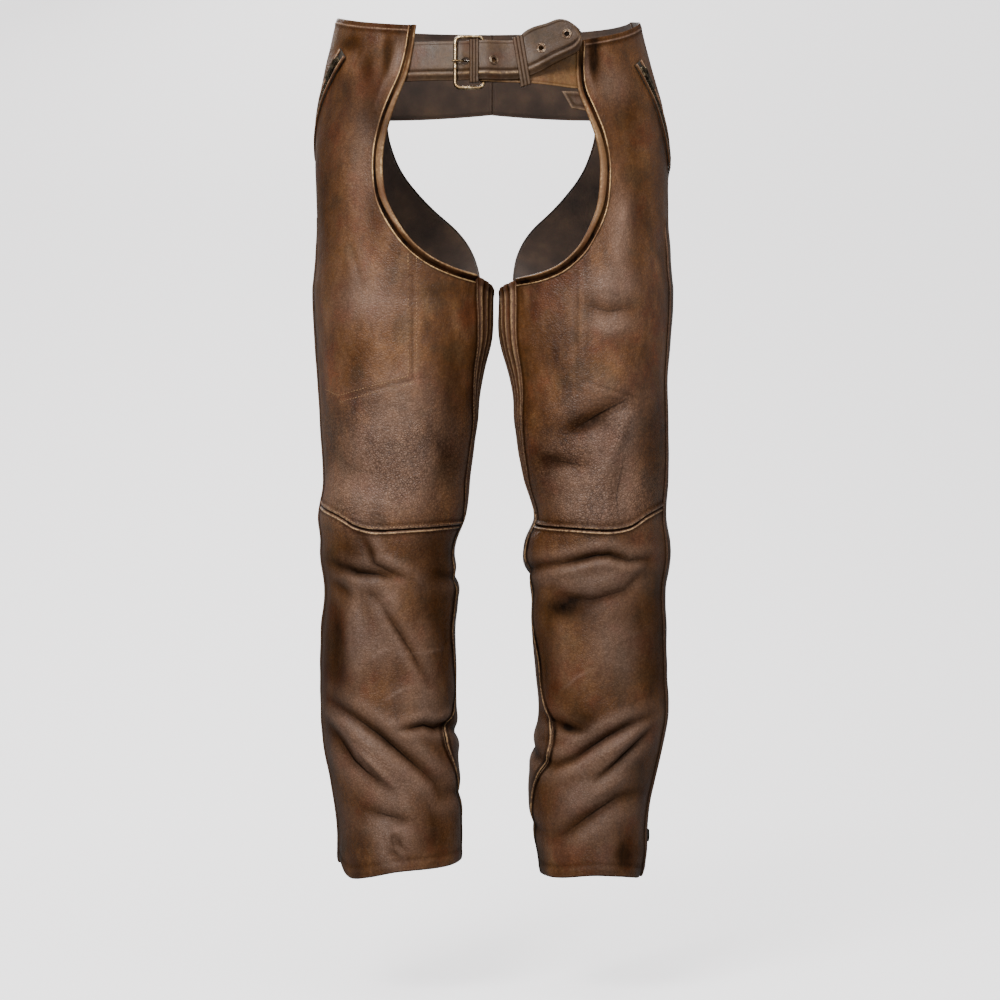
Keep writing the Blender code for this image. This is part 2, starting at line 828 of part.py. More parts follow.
def wire(name, points, radius, cyclic=False, sides=2):
    """A round wire through the points, which are in millimetres."""
    curve = bpy.data.curves.new(name, "CURVE")
    curve.dimensions = "3D"
    curve.bevel_depth = radius * MM
    curve.bevel_resolution = sides
    curve.use_fill_caps = not cyclic
    spline = curve.splines.new("POLY")
    spline.points.add(len(points) - 1)
    for knot, point in zip(spline.points, points):
        knot.co = (*(Vector(point) * MM), 1)
    spline.use_cyclic_u = cyclic
    made = bpy.data.objects.new(name, curve)
    bpy.context.scene.collection.objects.link(made)
    return made


def box(name, size, centre=(0, 0, 0)):
    """A block in millimetres, as a mesh object."""
    bm = bmesh.new()
    bmesh.ops.create_cube(bm, size=1)
    for vert in bm.verts:
        vert.co = Vector([(co * side + at) * MM for co, side, at in zip(vert.co, size, centre)])
    mesh = bpy.data.meshes.new(name)
    bm.to_mesh(mesh)
    bm.free()
    return bpy.data.objects.new(name, mesh)


def cylinder(name, radius, depth, segments):
    bm = bmesh.new()
    bmesh.ops.create_cone(
        bm, cap_ends=True, segments=segments, radius1=radius * MM, radius2=radius * MM, depth=depth * MM
    )
    mesh = bpy.data.meshes.new(name)
    bm.to_mesh(mesh)
    bm.free()
    return bpy.data.objects.new(name, mesh)


def bevel(obj, width, segments=2):
    edge = obj.modifiers.new("edges", "BEVEL")
    edge.width = width * MM
    edge.segments = segments
    edge.limit_method = "ANGLE"


def helper(obj):
    obj.hide_render = True
    obj.display_type = "WIRE"
    add_to("cutters", obj)


def join(obj, other, operation):
    """Cuts another object from this one, or joins it to this one."""
    helper(other)
    change = obj.modifiers.new(other.name, "BOOLEAN")
    change.operation = operation
    change.object = other
    change.solver = "EXACT"


def slider(name, matrix, look):
    """A zip's slider: a flat body, with a bridge that the pull tab hangs in."""
    width, length, height = SLIDER_SIZE
    body = box(name, (width, length, height), (0, 0, height / 2))
    body.matrix_world = matrix
    bevel(body, 0.8, 1)
    top = height + BRIDGE_HEIGHT
    foot = height - 0.8
    arch = [(0, -BRIDGE_REACH, foot), (0, -BRIDGE_REACH, top - 0.9), (0, -BRIDGE_REACH + 0.9, top),
            (0, BRIDGE_REACH - 0.9, top), (0, BRIDGE_REACH, top - 0.9), (0, BRIDGE_REACH, foot)]
    bridge = mesh_of(wire(name + "_bridge", arch, BRIDGE_RADIUS), name + "_bridge")
    bridge.matrix_world = matrix
    body.data.materials.append(look)
    add_to("leather_chaps", body)
    join(body, bridge, "UNION")
    return body


def pull_tab(name, matrix, look):
    """A pull tab whose top bar lies on its own X axis, and which hangs towards -Y."""
    window_width, window_top, window_end = PULL_WINDOW
    half = PULL_WIDTH / 2
    outline = [(-half, 0.6), (half, 0.6), (half, -7), (half - 1.1, -10), (half - 0.9, -PULL_LENGTH + 2),
               (half - 1.7, -PULL_LENGTH), (1.7 - half, -PULL_LENGTH), (0.9 - half, -PULL_LENGTH + 2),
               (1.1 - half, -10), (-half, -7)]
    side = window_width / 2
    window = [(-side, -window_top), (side, -window_top), (side, -window_end), (-side, -window_end)]
    curve = bpy.data.curves.new(name, "CURVE")
    curve.dimensions = "2D"
    curve.fill_mode = "BOTH"
    curve.extrude = PULL_THICKNESS / 2 * MM
    for loop in (outline, window):
        spline = curve.splines.new("POLY")
        spline.points.add(len(loop) - 1)
        for knot, (x, y) in zip(spline.points, loop):
            knot.co = (x * MM, y * MM, 0, 1)
        spline.use_cyclic_u = True
    curve.materials.append(look)
    made = bpy.data.objects.new(name, curve)
    made.matrix_world = matrix
    add_to("leather_chaps", made)
    return made


def zip_pull(kind, side, origin, up, normal, look):
    """Slider and pull tab at a point of a zip. The tab hangs, or lies on the slider."""
    across = up.cross(normal).normalized()
    out = across.cross(up).normalized()
    slider(kind + "_slider_" + side, frame_matrix(origin, across, up, out), look)
    axis = origin + out * (SLIDER_SIZE[2] + PULL_AXIS_HEIGHT)
    tab_up = Vector((0, 0, 1))
    tab_up = (tab_up - across * tab_up.dot(across)).normalized()
    if tab_up.dot(out) > 0:
        tab_up = up * cos(radians(PULL_REST_TILT)) + out * sin(radians(PULL_REST_TILT))
    pull_tab(kind + "_pull_" + side, frame_matrix(axis, across, tab_up, across.cross(tab_up)), look)


def leg_pull(side, look):
    angle = (FRONT_EDGE_ANGLE + BACK_EDGE_ANGLE) / 2 + leg_turn(side, LEG_SLIDER_ROW)
    z = row_height(LEG_SLIDER_ROW, "outer")
    up = (skin(side, angle, z + 5) - skin(side, angle, z - 5)).normalized()
    zip_pull("leg", side, skin(side, angle, z, 0.9), up, skin_normal(side, angle, z), look)


def pocket_pull(side, look):
    share = 0.075
    up = (pocket_point(side, share - 0.05) - pocket_point(side, share + 0.05)).normalized()
    normal = skin_normal(side, *POCKET_TOP[side])
    lift = 0.5 + TAPE + 0.35
    zip_pull("pocket", side, pocket_point(side, share, 0, lift), up, normal, look)


def cuff_snap(side, flap, look):
    """The snap's cap, on the flap's own face."""
    angle = SNAP_ANGLE[side]
    z = front_point(side, SNAP_ROW, angle)
    normal = skin_normal(side, angle, z)
    across = Vector((0, 0, 1)).cross(normal).normalized()
    origin = on_faces(faces_of(flap), skin(side, angle, z), normal) + normal * (SNAP_GAP + SNAP_HEIGHT / 2)
    snap = cylinder("cuff_snap_" + side, SNAP_RADIUS, SNAP_HEIGHT, 20)
    snap.matrix_world = frame_matrix(origin, across, normal.cross(across), normal)
    snap.data.materials.append(look)
    bevel(snap, 1.0)
    add_to("leather_chaps", snap)


# --- belt ------------------------------------------------------------------------------------


def belt_base(x):
    return skin_point("l", angle_at("l", x, BELT_HEIGHT), BELT_HEIGHT)


def belt_point(x, z, layer):
    """A point of the belt, a layer height out from where the innermost layer lies."""
    ahead, behind = belt_base(x + 1), belt_base(x - 1)
    along = (ahead - behind).normalized()
    point = belt_base(x) + Vector((along.y, -along.x, 0)) * (BELT_BASE + layer)
    return point + Vector((0, BELT_LEAN, 1)) * (z - BELT_HEIGHT)


def strap_at(x):
    """The free strap at this x: its middle, how far up its edges are, and the way up."""
    row = {name: straight(FREE_STRAP, STRAP_COLUMNS, name, x) for name in STRAP_COLUMNS}
    rise = radians(row["rise"])
    up = Vector((-sin(rise), BELT_LEAN * cos(rise), cos(rise))).normalized()
    return belt_point(x, row["z"], row["layer"]), row["width"] * BELT_WIDTH / 2, up


def free_strap(look):
    across = 2

    def place(column, step):
        middle, reach, up = strap_at(FREE_STRAP[step][0])
        return middle + up * reach * (2 * column / across - 1)

    strap = sheet("strap_holes", across, len(FREE_STRAP) - 1, place, body_centre, look, STRAP, grow=1)
    x, z, half_length, half_width = PRONG_HOLE
    cut_strap(strap, "prong_hole", x, z, half_length, half_width)
    for index, (x, z) in enumerate(EYELETS):
        cut_strap(strap, f"eyelet_hole_{index + 1}", x, z, EYELET_HOLE, EYELET_HOLE)
    return strap


def strap_matrix(x, z):
    """Placement on the free strap's outer face, with Z straight out of it."""
    for row, after in zip(FREE_STRAP, FREE_STRAP[1:]):
        start, _, up = strap_at(row[0])
        end, _, end_up = strap_at(after[0])
        run, up = end - start, (up + end_up).normalized()
        share = (x - start.x - (z - start.z) * up.x / up.z) / (run.x - run.z * up.x / up.z)
        if share <= 1:
            break
    out = run.cross(up).normalized()
    across = up.cross(out).normalized()
    origin = start + run * share + up * ((z - start.z - run.z * share) / up.z)
    return frame_matrix(origin + out * STRAP, across, out.cross(across), out)


def cover_layer(x, z):
    """The layer at which the free strap's outer face lies at this x and z."""
    placed = strap_matrix(x, z)
    out = placed.col[2].xyz
    start = belt_point(x, z, 0)
    return (placed.translation / MM - start).dot(out) / (belt_point(x, z, 1) - start).dot(out)


def cut_strap(strap, name, x, z, half_length, half_width):
    cutter = cylinder(name, 1, 12, 20)
    cutter.data.transform(Matrix.Diagonal((half_length, half_width, 1, 1)))
    cutter.matrix_world = strap_matrix(x, z)
    join(strap, cutter, "DIFFERENCE")


def eyelet(index, x, z, look):
    """A turned eyelet: a flange on the strap's face and a barrel through its hole."""
    top = GAP + EYELET_PLATE
    profile = (
        (EYELET_BORE, top),
        (EYELET_FLANGE - 0.3, top),
        (EYELET_FLANGE, top - 0.3),
        (EYELET_FLANGE, GAP),
        (EYELET_BARREL, GAP),
        (EYELET_BARREL, -STRAP + 0.4),
        (EYELET_BORE, -STRAP + 0.4),
    )
    bm = bmesh.new()
    loop = [bm.verts.new((radius * MM, 0, height * MM)) for radius, height in profile]
    for first, second in zip(loop, loop[1:] + loop[:1]):
        bm.edges.new((first, second))
    mesh = bpy.data.meshes.new(f"eyelet_{index}")
    bm.to_mesh(mesh)
    bm.free()
    made = finish_mesh(f"eyelet_{index}", mesh, look)
    turn = made.modifiers.new("turn", "SCREW")
    turn.steps = turn.render_steps = 18
    turn.use_merge_vertices = True
    turn.merge_threshold = 0.00001
    made.matrix_world = strap_matrix(x, z)
    return made


def buckle_strap(look):
    """The buckle's strap: it runs under the free strap and is folded back round the bar."""
    rows = [(RETURN_END, BUCKLE_STRAP_RUN[0][1], BAR_LAYER - FOLD_RADIUS)]
    for step in range(7):
        turn = radians(-90 - 30 * step)
        x = BAR_X + FOLD_RADIUS * cos(turn)
        rows.append((x, BUCKLE_STRAP_RUN[0][1], BAR_LAYER + FOLD_RADIUS * sin(turn)))
    rows += BUCKLE_STRAP_RUN
    across = 2

    def place(column, step):
        x, z, layer = rows[step]
        return belt_point(x, z + BUCKLE_STRAP_WIDTH / 2 * (2 * column / across - 1), layer)

    strap = sheet("strap_buckle", across, len(rows) - 1, place, body_centre, look, BUCKLE_STRAP, grow=0)
    length, width = SLOT
    slot = box("prong_slot", (length, 30, width))
    slot.location = belt_point(BAR_X + 0.5, PRONG_Z, BAR_LAYER) * MM
    join(strap, slot, "DIFFERENCE")
    return strap


def buckle_frame(look):
    """The wire frame: one bar carries the strap and the prong, the other lies in front."""
    corners = (
        (BAR_X, FRAME_TOP, -1, -1),
        (FRONT_BAR_X, FRAME_TOP, 1, -1),
        (FRONT_BAR_X, FRAME_BOTTOM, 1, 1),
        (BAR_X, FRAME_BOTTOM, -1, 1),
    )
    points = []
    for index, (x, z, inward, down) in enumerate(corners):
        for step in range(4):
            turn = radians(30 * step if index % 2 else 90 - 30 * step)
            across = x + inward * FRAME_CORNER * (1 - sin(turn))
            height = z + down * FRAME_CORNER * (1 - cos(turn))
            share = (across - BAR_X) / (FRONT_BAR_X - BAR_X)
            points.append(belt_point(across, height, mix(BAR_LAYER, FRONT_BAR_LAYER, share)))
    frame = mesh_of(wire("buckle_frame_wire", points, FRAME_RADIUS, cyclic=True), "buckle_frame")
    frame.data.shade_smooth()
    frame.data.materials.append(look)
    add_to("leather_chaps", frame)
    return frame


def buckle_prong(look):
    """The prong: hooked round the bar, up through the strap's hole and onto the front bar."""
    points = []
    for step in range(10):
        turn = radians(-125 + 30 * step)
        x = BAR_X + PRONG_HOOK_RADIUS * cos(turn)
        points.append(belt_point(x, PRONG_Z, BAR_LAYER + PRONG_HOOK_RADIUS * sin(turn)))
    for along, out in PRONG_PATH:
        points.append(belt_point(BAR_X + along, PRONG_Z, BAR_LAYER + out))
    prong = mesh_of(wire("buckle_prong_wire", points, PRONG_RADIUS), "buckle_prong")
    prong.data.shade_smooth()
    prong.data.materials.append(look)
    add_to("leather_chaps", prong)
    return prong


def keeper(name, size, look):
    """A leather loop round the straps: a band of rounded rectangular section."""
    straight_reach = size["reach"] - KEEPER_CORNER
    bm = bmesh.new()
    loops = []
    for column in size["columns"]:
        loop = []
        for corner in range(4):
            up = 1 if corner in (0, 1) else -1
            x = size["x"] + column - up * size["slant"] / 2
            z = size["z"] + column * size["climb"] + up * straight_reach
            layer = size["back"] + KEEPER_CORNER
            if corner in (0, 3):
                layer = cover_layer(x, z) + KEEPER_GAP + KEEPER / 2 - KEEPER_CORNER
            for step in range(3):
                turn = radians(90 * corner + 45 * step)
                out = layer + KEEPER_CORNER * cos(turn)
                loop.append(bm.verts.new(belt_point(x, z + KEEPER_CORNER * sin(turn), out) * MM))
        loops.append(loop)
    for first, second in zip(loops, loops[1:]):
        for i, j in zip(range(12), [*range(1, 12), 0]):
            bm.faces.new((first[i], first[j], second[j], second[i]))
    bmesh.ops.recalc_face_normals(bm, faces=bm.faces)
    mesh = bpy.data.meshes.new(name)
    bm.to_mesh(mesh)
    bm.free()
    made = finish_mesh(name, mesh, look)
    wall = made.modifiers.new("wall", "SOLIDIFY")
    wall.thickness = KEEPER * MM
    wall.offset = 0
    return made


def stay_tab(look):
    """The small tab that shows below the buckle strap, from behind the panel's edge."""

    def place(column, step):
        share, down = column / 3, step / 2
        z = mix(STAY_TOP, mix(-68, -72, share), down)
        x = mix(mix(75, 86, down), 118, share)
        return belt_point(x, z, 2.2 * share)

    return sheet("stay_tab", 3, 2, place, body_centre, look, LEATHER, grow=1)


# --- the whole -------------------------------------------------------------------------------


def build():
    clear_scene()
    brown = material("distressed cowhide", LEATHER_BROWN, 0.55)
    dark = material("pleated cowhide", LEATHER_DARK, 0.6)
    belt = material("strap leather", STRAP_BROWN, 0.5)
    tan = material("tan edge binding", BINDING_TAN, 0.55)
    tape = material("zip tape", TAPE_BLACK, 0.8)
    brass = material("antique brass", ANTIQUE_BRASS, 0.35, 1.0)
    enamel = material("black snap", ENAMEL_BLACK, 0.3)
    for side in SIDES:
        thigh = front_panel("front_thigh_" + side, side, THIGH_ROWS, brown)
        front_panel("front_shin_" + side, side, SHIN_ROWS, brown)
        back_leg(side, brown)
        inner_thigh(side, dark)
        back_yoke(side, brown)
        edge_binding(side, thigh, tan)
        flap = zip_flap(side, brown)
        leg_zip(side, tape)
        pocket(side, tape, tan)
        pocket_pull(side, brass)
        leg_pull(side, brass)
        cuff_snap(side, flap, enamel)
    free_strap(belt)
    buckle_strap(belt)
    buckle_frame(brass)
    buckle_prong(brass)
    keeper("keeper_inner", KEEPER_INNER, belt)
    keeper("keeper_outer", KEEPER_OUTER, belt)
    for index, (x, z) in enumerate(EYELETS):
        eyelet(index + 1, x, z, brass)
    stay_tab(brown)


build()
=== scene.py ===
# Leather riding chaps with their own belt, in the shape that they keep when worn.
# The skin below is the one that the solids stand on: a section at each height, with an angle of 0
# at the outermost point, -90 at the front, 90 at the back and 180 at the inside.
# Tables and sizes are in millimetres and degrees, and each mesh is brought to metres as it is made.

from math import cos, pi, radians, sin

import bmesh
import bpy
import numpy as np
from mathutils import Matrix, Vector
from mathutils.bvhtree import BVHTree


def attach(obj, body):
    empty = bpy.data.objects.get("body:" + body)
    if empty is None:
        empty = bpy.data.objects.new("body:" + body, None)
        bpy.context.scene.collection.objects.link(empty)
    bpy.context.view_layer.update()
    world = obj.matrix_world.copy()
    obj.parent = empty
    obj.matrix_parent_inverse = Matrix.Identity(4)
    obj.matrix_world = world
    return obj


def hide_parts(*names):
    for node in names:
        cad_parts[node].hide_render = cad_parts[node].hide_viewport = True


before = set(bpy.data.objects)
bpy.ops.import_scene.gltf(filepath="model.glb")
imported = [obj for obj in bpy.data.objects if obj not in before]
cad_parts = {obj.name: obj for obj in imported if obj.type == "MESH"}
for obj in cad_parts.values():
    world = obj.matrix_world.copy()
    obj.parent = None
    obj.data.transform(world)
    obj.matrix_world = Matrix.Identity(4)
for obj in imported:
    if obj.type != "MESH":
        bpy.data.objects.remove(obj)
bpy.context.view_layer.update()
print("frame loaded")

mm = 0.001
sideSign = {"r": -1, "l": 1}
legColumn = {"r": 1, "l": 2}  # where a table keeps the values of a leg

skin = {
    "squareness": 0.03,
    # how far the outer seams of a leg run behind its side, and the rise of the top edge over the hip
    "turn": {"r": 14, "l": 0},
    "rise": (5.5, -10, 25),
    # how far the yoke's lower edge rises to the back, how far the back panel's edge drops at the
    # crotch, and the degrees that the pleated panel spans there: row, span
    "yokeRise": 12,
    "pleatDrop": 14,
    "pleatSpan": ((12, 60), (19, 10), (20, 0)),
    # z, outer r, inner r, outer l, inner l, front, back
    "sections": (
        (47, 170, -160, 160, -170, 104, 112),
        (-5, 181, -173, 173, -181, 112, 118),
        (-58, 190, -188, 188, -190, 118, 126),
        (-111, 194, -175, 194, -175, 119, 133),
        (-164, 193, -112, 194, -106, 114, 133),
        (-217, 192, -28, 195, -19, 110, 121),
        (-243, 194, -3, 196, 8, 108, 112),
        (-254, 195, -2, 197, 8, 107, 108),
        (-305, 194, 1, 195, 9, 104, 100),
        (-357, 190, 12, 192, 21, 101, 95),
        (-410, 187, 17, 193, 26, 96, 89),
        (-463, 184, 24, 192, 35, 90, 83),
        (-503, 190, 29, 190, 46, 88, 77),
        (-529, 187, 39, 194, 36, 84, 76),
        (-549, 187, 41, 194, 35, 82, 77),
        (-582, 183, 37, 189, 43, 80, 82),
        (-621, 186, 40, 190, 42, 77, 88),
        (-674, 187, 39, 190, 46, 74, 91),
        (-714, 186, 38, 192, 51, 74, 91),
        (-753, 183, 37, 187, 46, 73, 88),
        (-793, 176, 36, 178, 41, 73, 84),
        (-833, 170, 33, 170, 43, 74, 80),
        (-872, 168, 33, 168, 49, 77, 78),
        (-903, 165, 35, 163, 54, 79, 77),
    ),
    # row, its height at the outer side and at the inner seam
    "rows": (
        (0, 44, 15), (4, -58, -50), (8, -168, -160), (12, -286, -245), (14, -338, -310), (16, -388, -378),
        (18, -437, -446), (20, -485, -511), (24, -586, -606), (28, -687, -700), (32, -788, -794),
        (36, -889, -884),
    ),
    # the edge of the front opening: row, x and z on the right, x and z on the left
    "opening": (
        (0, 82, 22, 93, 6), (1, 86, -5, 92, -22), (2, 92, -32, 94, -47), (3, 102, -57, 103, -71),
        (4, 111, -83, 112, -96), (5, 117, -110, 117, -121), (6, 118, -137, 117, -146),
        (7, 114, -163, 114, -172), (8, 102, -188, 105, -196), (9, 86, -210, 92, -218),
        (10, 65, -227, 73, -235), (11, 40, -238, 50, -244), (12, 14, -244, 24, -248),
    ),
    # the seam down the inner side: z, its angle on the right and on the left
    "seam": (
        (-243, -141, -143), (-294, -147, -144), (-347, -154, -148), (-396, -160, -153), (-452, -161, -158),
        (-490, -164, -163), (-511, -168, -162), (-560, -164, -164), (-610, -161, -168), (-660, -164, -157),
        (-696, -169, -157), (-720, -154, -146), (-735, -142, -138), (-746, -143, -137), (-759, -148, -138),
        (-777, -157, -144), (-800, -165, -158), (-835, -171, -166), (-890, -175, -172),
    ),
    # the top edge of the back panel: row, angle, z
    "seat": (
        (4, 52, -56), (5, 55, -84), (6, 60, -110), (7, 68, -133), (8, 79, -155), (9, 94, -177),
        (10, 112, -201), (11, 134, -228), (12, 158, -259),
    ),
    # angle, height of the knee seam; angle, height of the hem on the right and on the left
    "knee": ((-168, -511), (-114, -515), (-82, -517), (-65, -513), (-47, -501), (-25, -493), (16, -485)),
    "hem": (
        (-175, -879, -894), (-130, -882, -893), (-90, -885, -889), (-60, -892, -891), (-40, -895, -894),
        (-26, -891, -896), (-12, -884, -894), (16, -880, -889),
    ),
}
yokeRow, flapRow, crotchRow, kneeRow, hemRow = 4, 8, 12, 20, 36
rowSpacing = 26
frontEdgeAngle, backEdgeAngle, flapEdgeAngle = 16, 30, -20
leather, seamGap, lap = 1.4, 0.5, 3.0


def through(table, column, at):
    # a smooth curve through one column of a table, held level past its ends
    table = np.array(table, float)
    table = table if table[0, 0] < table[-1, 0] else table[::-1]
    keys, values = table[:, 0], table[:, column]
    at = np.clip(np.asarray(at, float), keys[0], keys[-1])
    i = np.clip(np.searchsorted(keys, at, side="right") - 1, 0, len(keys) - 2)
    low = np.maximum(np.arange(len(keys)) - 1, 0)
    high = np.minimum(np.arange(len(keys)) + 1, len(keys) - 1)
    slopes = (values[high] - values[low]) / (keys[high] - keys[low])
    span = keys[i + 1] - keys[i]
    t = (at - keys[i]) / span
    bent = t * t * (3 - 2 * t)
    start = (t**3 - 2 * t * t + t) * span * slopes[i]
    end = (t**3 - t * t) * span * slopes[i + 1]
    return values[i] * (1 - bent) + values[i + 1] * bent + start + end


def smoothStep(value):
    value = np.clip(value, 0, 1)
    return value * value * (3 - 2 * value)


def hill(value, middle, reach, power=2):
    # 1 at the middle, and falling softly to 0 on both sides
    return np.exp(-(((value - middle) / reach) ** power))


def unit(vectors):
    return vectors / np.maximum(np.linalg.norm(vectors, axis=-1, keepdims=True), 1e-9)


def sectionAt(side, z):
    # middle, half width, front and back of a leg's section
    first = 2 * legColumn[side] - 1
    outer, inner, front, back = (through(skin["sections"], k, z) for k in (first, first + 1, 5, 6))
    return (outer + inner) / 2, (outer - inner) / 2, front, back


def squared(turn):
    return 1 + skin["squareness"] * np.sin(2 * turn) ** 2


def skinPoint(side, angle, z):
    middle, halfWidth, front, back = sectionAt(side, z)
    turn = np.radians(angle)
    x = middle + halfWidth * np.cos(turn) * squared(turn)
    y = np.where(np.sin(turn) < 0, front, back) * np.sin(turn) * squared(turn)
    return np.stack(np.broadcast_arrays(sideSign[side] * x, y, z), -1)


def aroundSkin(side, angle, z):
    # the way round the skin, as long as one degree there
    return skinPoint(side, angle + 0.5, z) - skinPoint(side, angle - 0.5, z)


def skinNormal(side, angle, z):
    down = skinPoint(side, angle, z - 1) - skinPoint(side, angle, z + 1)
    return unit(np.cross(aroundSkin(side, angle, z), down) * -sideSign[side])


def angleAt(side, x, z, inside=-180.0):
    # the angle at which the skin is this far from the middle plane, on the front or the back
    middle, halfWidth, _, _ = sectionAt(side, z)
    x = np.asarray(x, float)
    shape = np.broadcast(x, middle).shape
    low, high = np.full(shape, inside), np.zeros(shape)
    for _ in range(24):
        angle = (low + high) / 2
        turn = np.radians(angle)
        inner = middle + halfWidth * np.cos(turn) * squared(turn) < x
        low, high = np.where(inner, angle, low), np.where(inner, high, angle)
    return (low + high) / 2


def beside(side, angle, z, distance):
    # the angle that lies this far along the skin from an angle
    return angle + distance / np.linalg.norm(aroundSkin(side, angle, z), axis=-1)


def belowKnee(row):
    # 0 at the knee seam and 1 at the hem, slow at first
    return np.clip((row - kneeRow) / (hemRow - kneeRow), 0, 1) ** 2


def outerHeight(row):
    return through(skin["rows"], 1, row)


def innerHeight(side, row):
    hem = through(skin["hem"], legColumn[side], skin["hem"][0][0])
    return through(skin["rows"], 2, row) + belowKnee(row) * (hem - through(skin["rows"], 2, hemRow))


def seamAngle(side, z):
    return through(skin["seam"], legColumn[side], z)


def frontEdge(side, row):
    # angle and height of the front panels' inner edge: the opening, then the inner seam
    row = np.asarray(row, float)
    first = 2 * legColumn[side] - 1
    x, z = (through(skin["opening"], k, row) for k in (first, first + 1))
    crotchX, crotchZ = (through(skin["opening"], k, crotchRow) for k in (first, first + 1))
    near = np.clip(1 - (row - crotchRow) / 2, 0, 1) ** 2
    low = innerHeight(side, row) + near * (crotchZ - innerHeight(side, crotchRow))
    turn = near * (angleAt(side, crotchX, crotchZ) - seamAngle(side, crotchZ))
    opens = row <= crotchRow
    return np.where(opens, angleAt(side, x, z), seamAngle(side, low) + turn), np.where(opens, z, low)


def backEdge(side, row):
    # angle and height of the back panel's inner edge: the seat edge, then the inner seam
    row = np.asarray(row, float)
    z = innerHeight(side, row)
    lower = z - np.where(row < kneeRow, skin["pleatDrop"] * (kneeRow - row) / (kneeRow - crotchRow), 0)
    span = np.maximum(0, through(skin["pleatSpan"], 1, row))
    low = 360 + seamAngle(side, z) - np.where(row < kneeRow, span, 0)
    opens = row <= crotchRow
    return (np.where(opens, through(skin["seat"], 1, row), low),
            np.where(opens, through(skin["seat"], 2, row), lower))


def legTurn(side, row):
    return skin["turn"][side] * smoothStep(np.asarray(row, float) / flapRow)


def topRise(row, angle):
    high, at, wide = skin["rise"]
    return high * hill(angle, at, wide) * np.clip(1 - row / yokeRow, 0, 1) ** 2


def frontHeight(side, row, angle):
    # height of a front panel's row at this angle, bent to the knee seam and to the hem
    row, angle = np.broadcast_arrays(np.asarray(row, float), np.asarray(angle, float))
    endAngle, endZ = frontEdge(side, row)
    startAngle = frontEdgeAngle + legTurn(side, row)
    share = (startAngle - angle) / (startAngle - endAngle)
    z = outerHeight(row) * (1 - share) + endZ * share + topRise(row, angle)
    knee = through(skin["knee"], 1, angle)
    kneeLine = outerHeight(kneeRow) * (1 - share) + frontEdge(side, kneeRow)[1] * share
    near = 1 - np.clip(np.abs(row - kneeRow) / (kneeRow - crotchRow), 0, 1)
    z = z + np.where(row > crotchRow, near**2 * (knee - kneeLine), 0)
    hem = through(skin["hem"], legColumn[side], angle)
    hemLine = outerHeight(hemRow) * (1 - share) + innerHeight(side, hemRow) * share
    return z + belowKnee(row) * (hem - hemLine)


def hemRise(side, row):
    # how far the outer side rises to the corner of the front panel's hem
    return (through(skin["hem"], legColumn[side], frontEdgeAngle) - outerHeight(hemRow)) * belowKnee(row)


def yokeBottom(angle):
    return outerHeight(yokeRow) + skin["yokeRise"] * ((angle - frontEdgeAngle) / 74) ** 2


def underYoke(z, row, angle, tuckedIn):
    # the heights of a piece whose top edge lies this far under the yoke
    fade = np.clip(1 - (row - yokeRow) / 0.6, 0, 1)
    return z * (1 - fade) + (yokeBottom(angle) + tuckedIn - (row - yokeRow) * rowSpacing) * fade


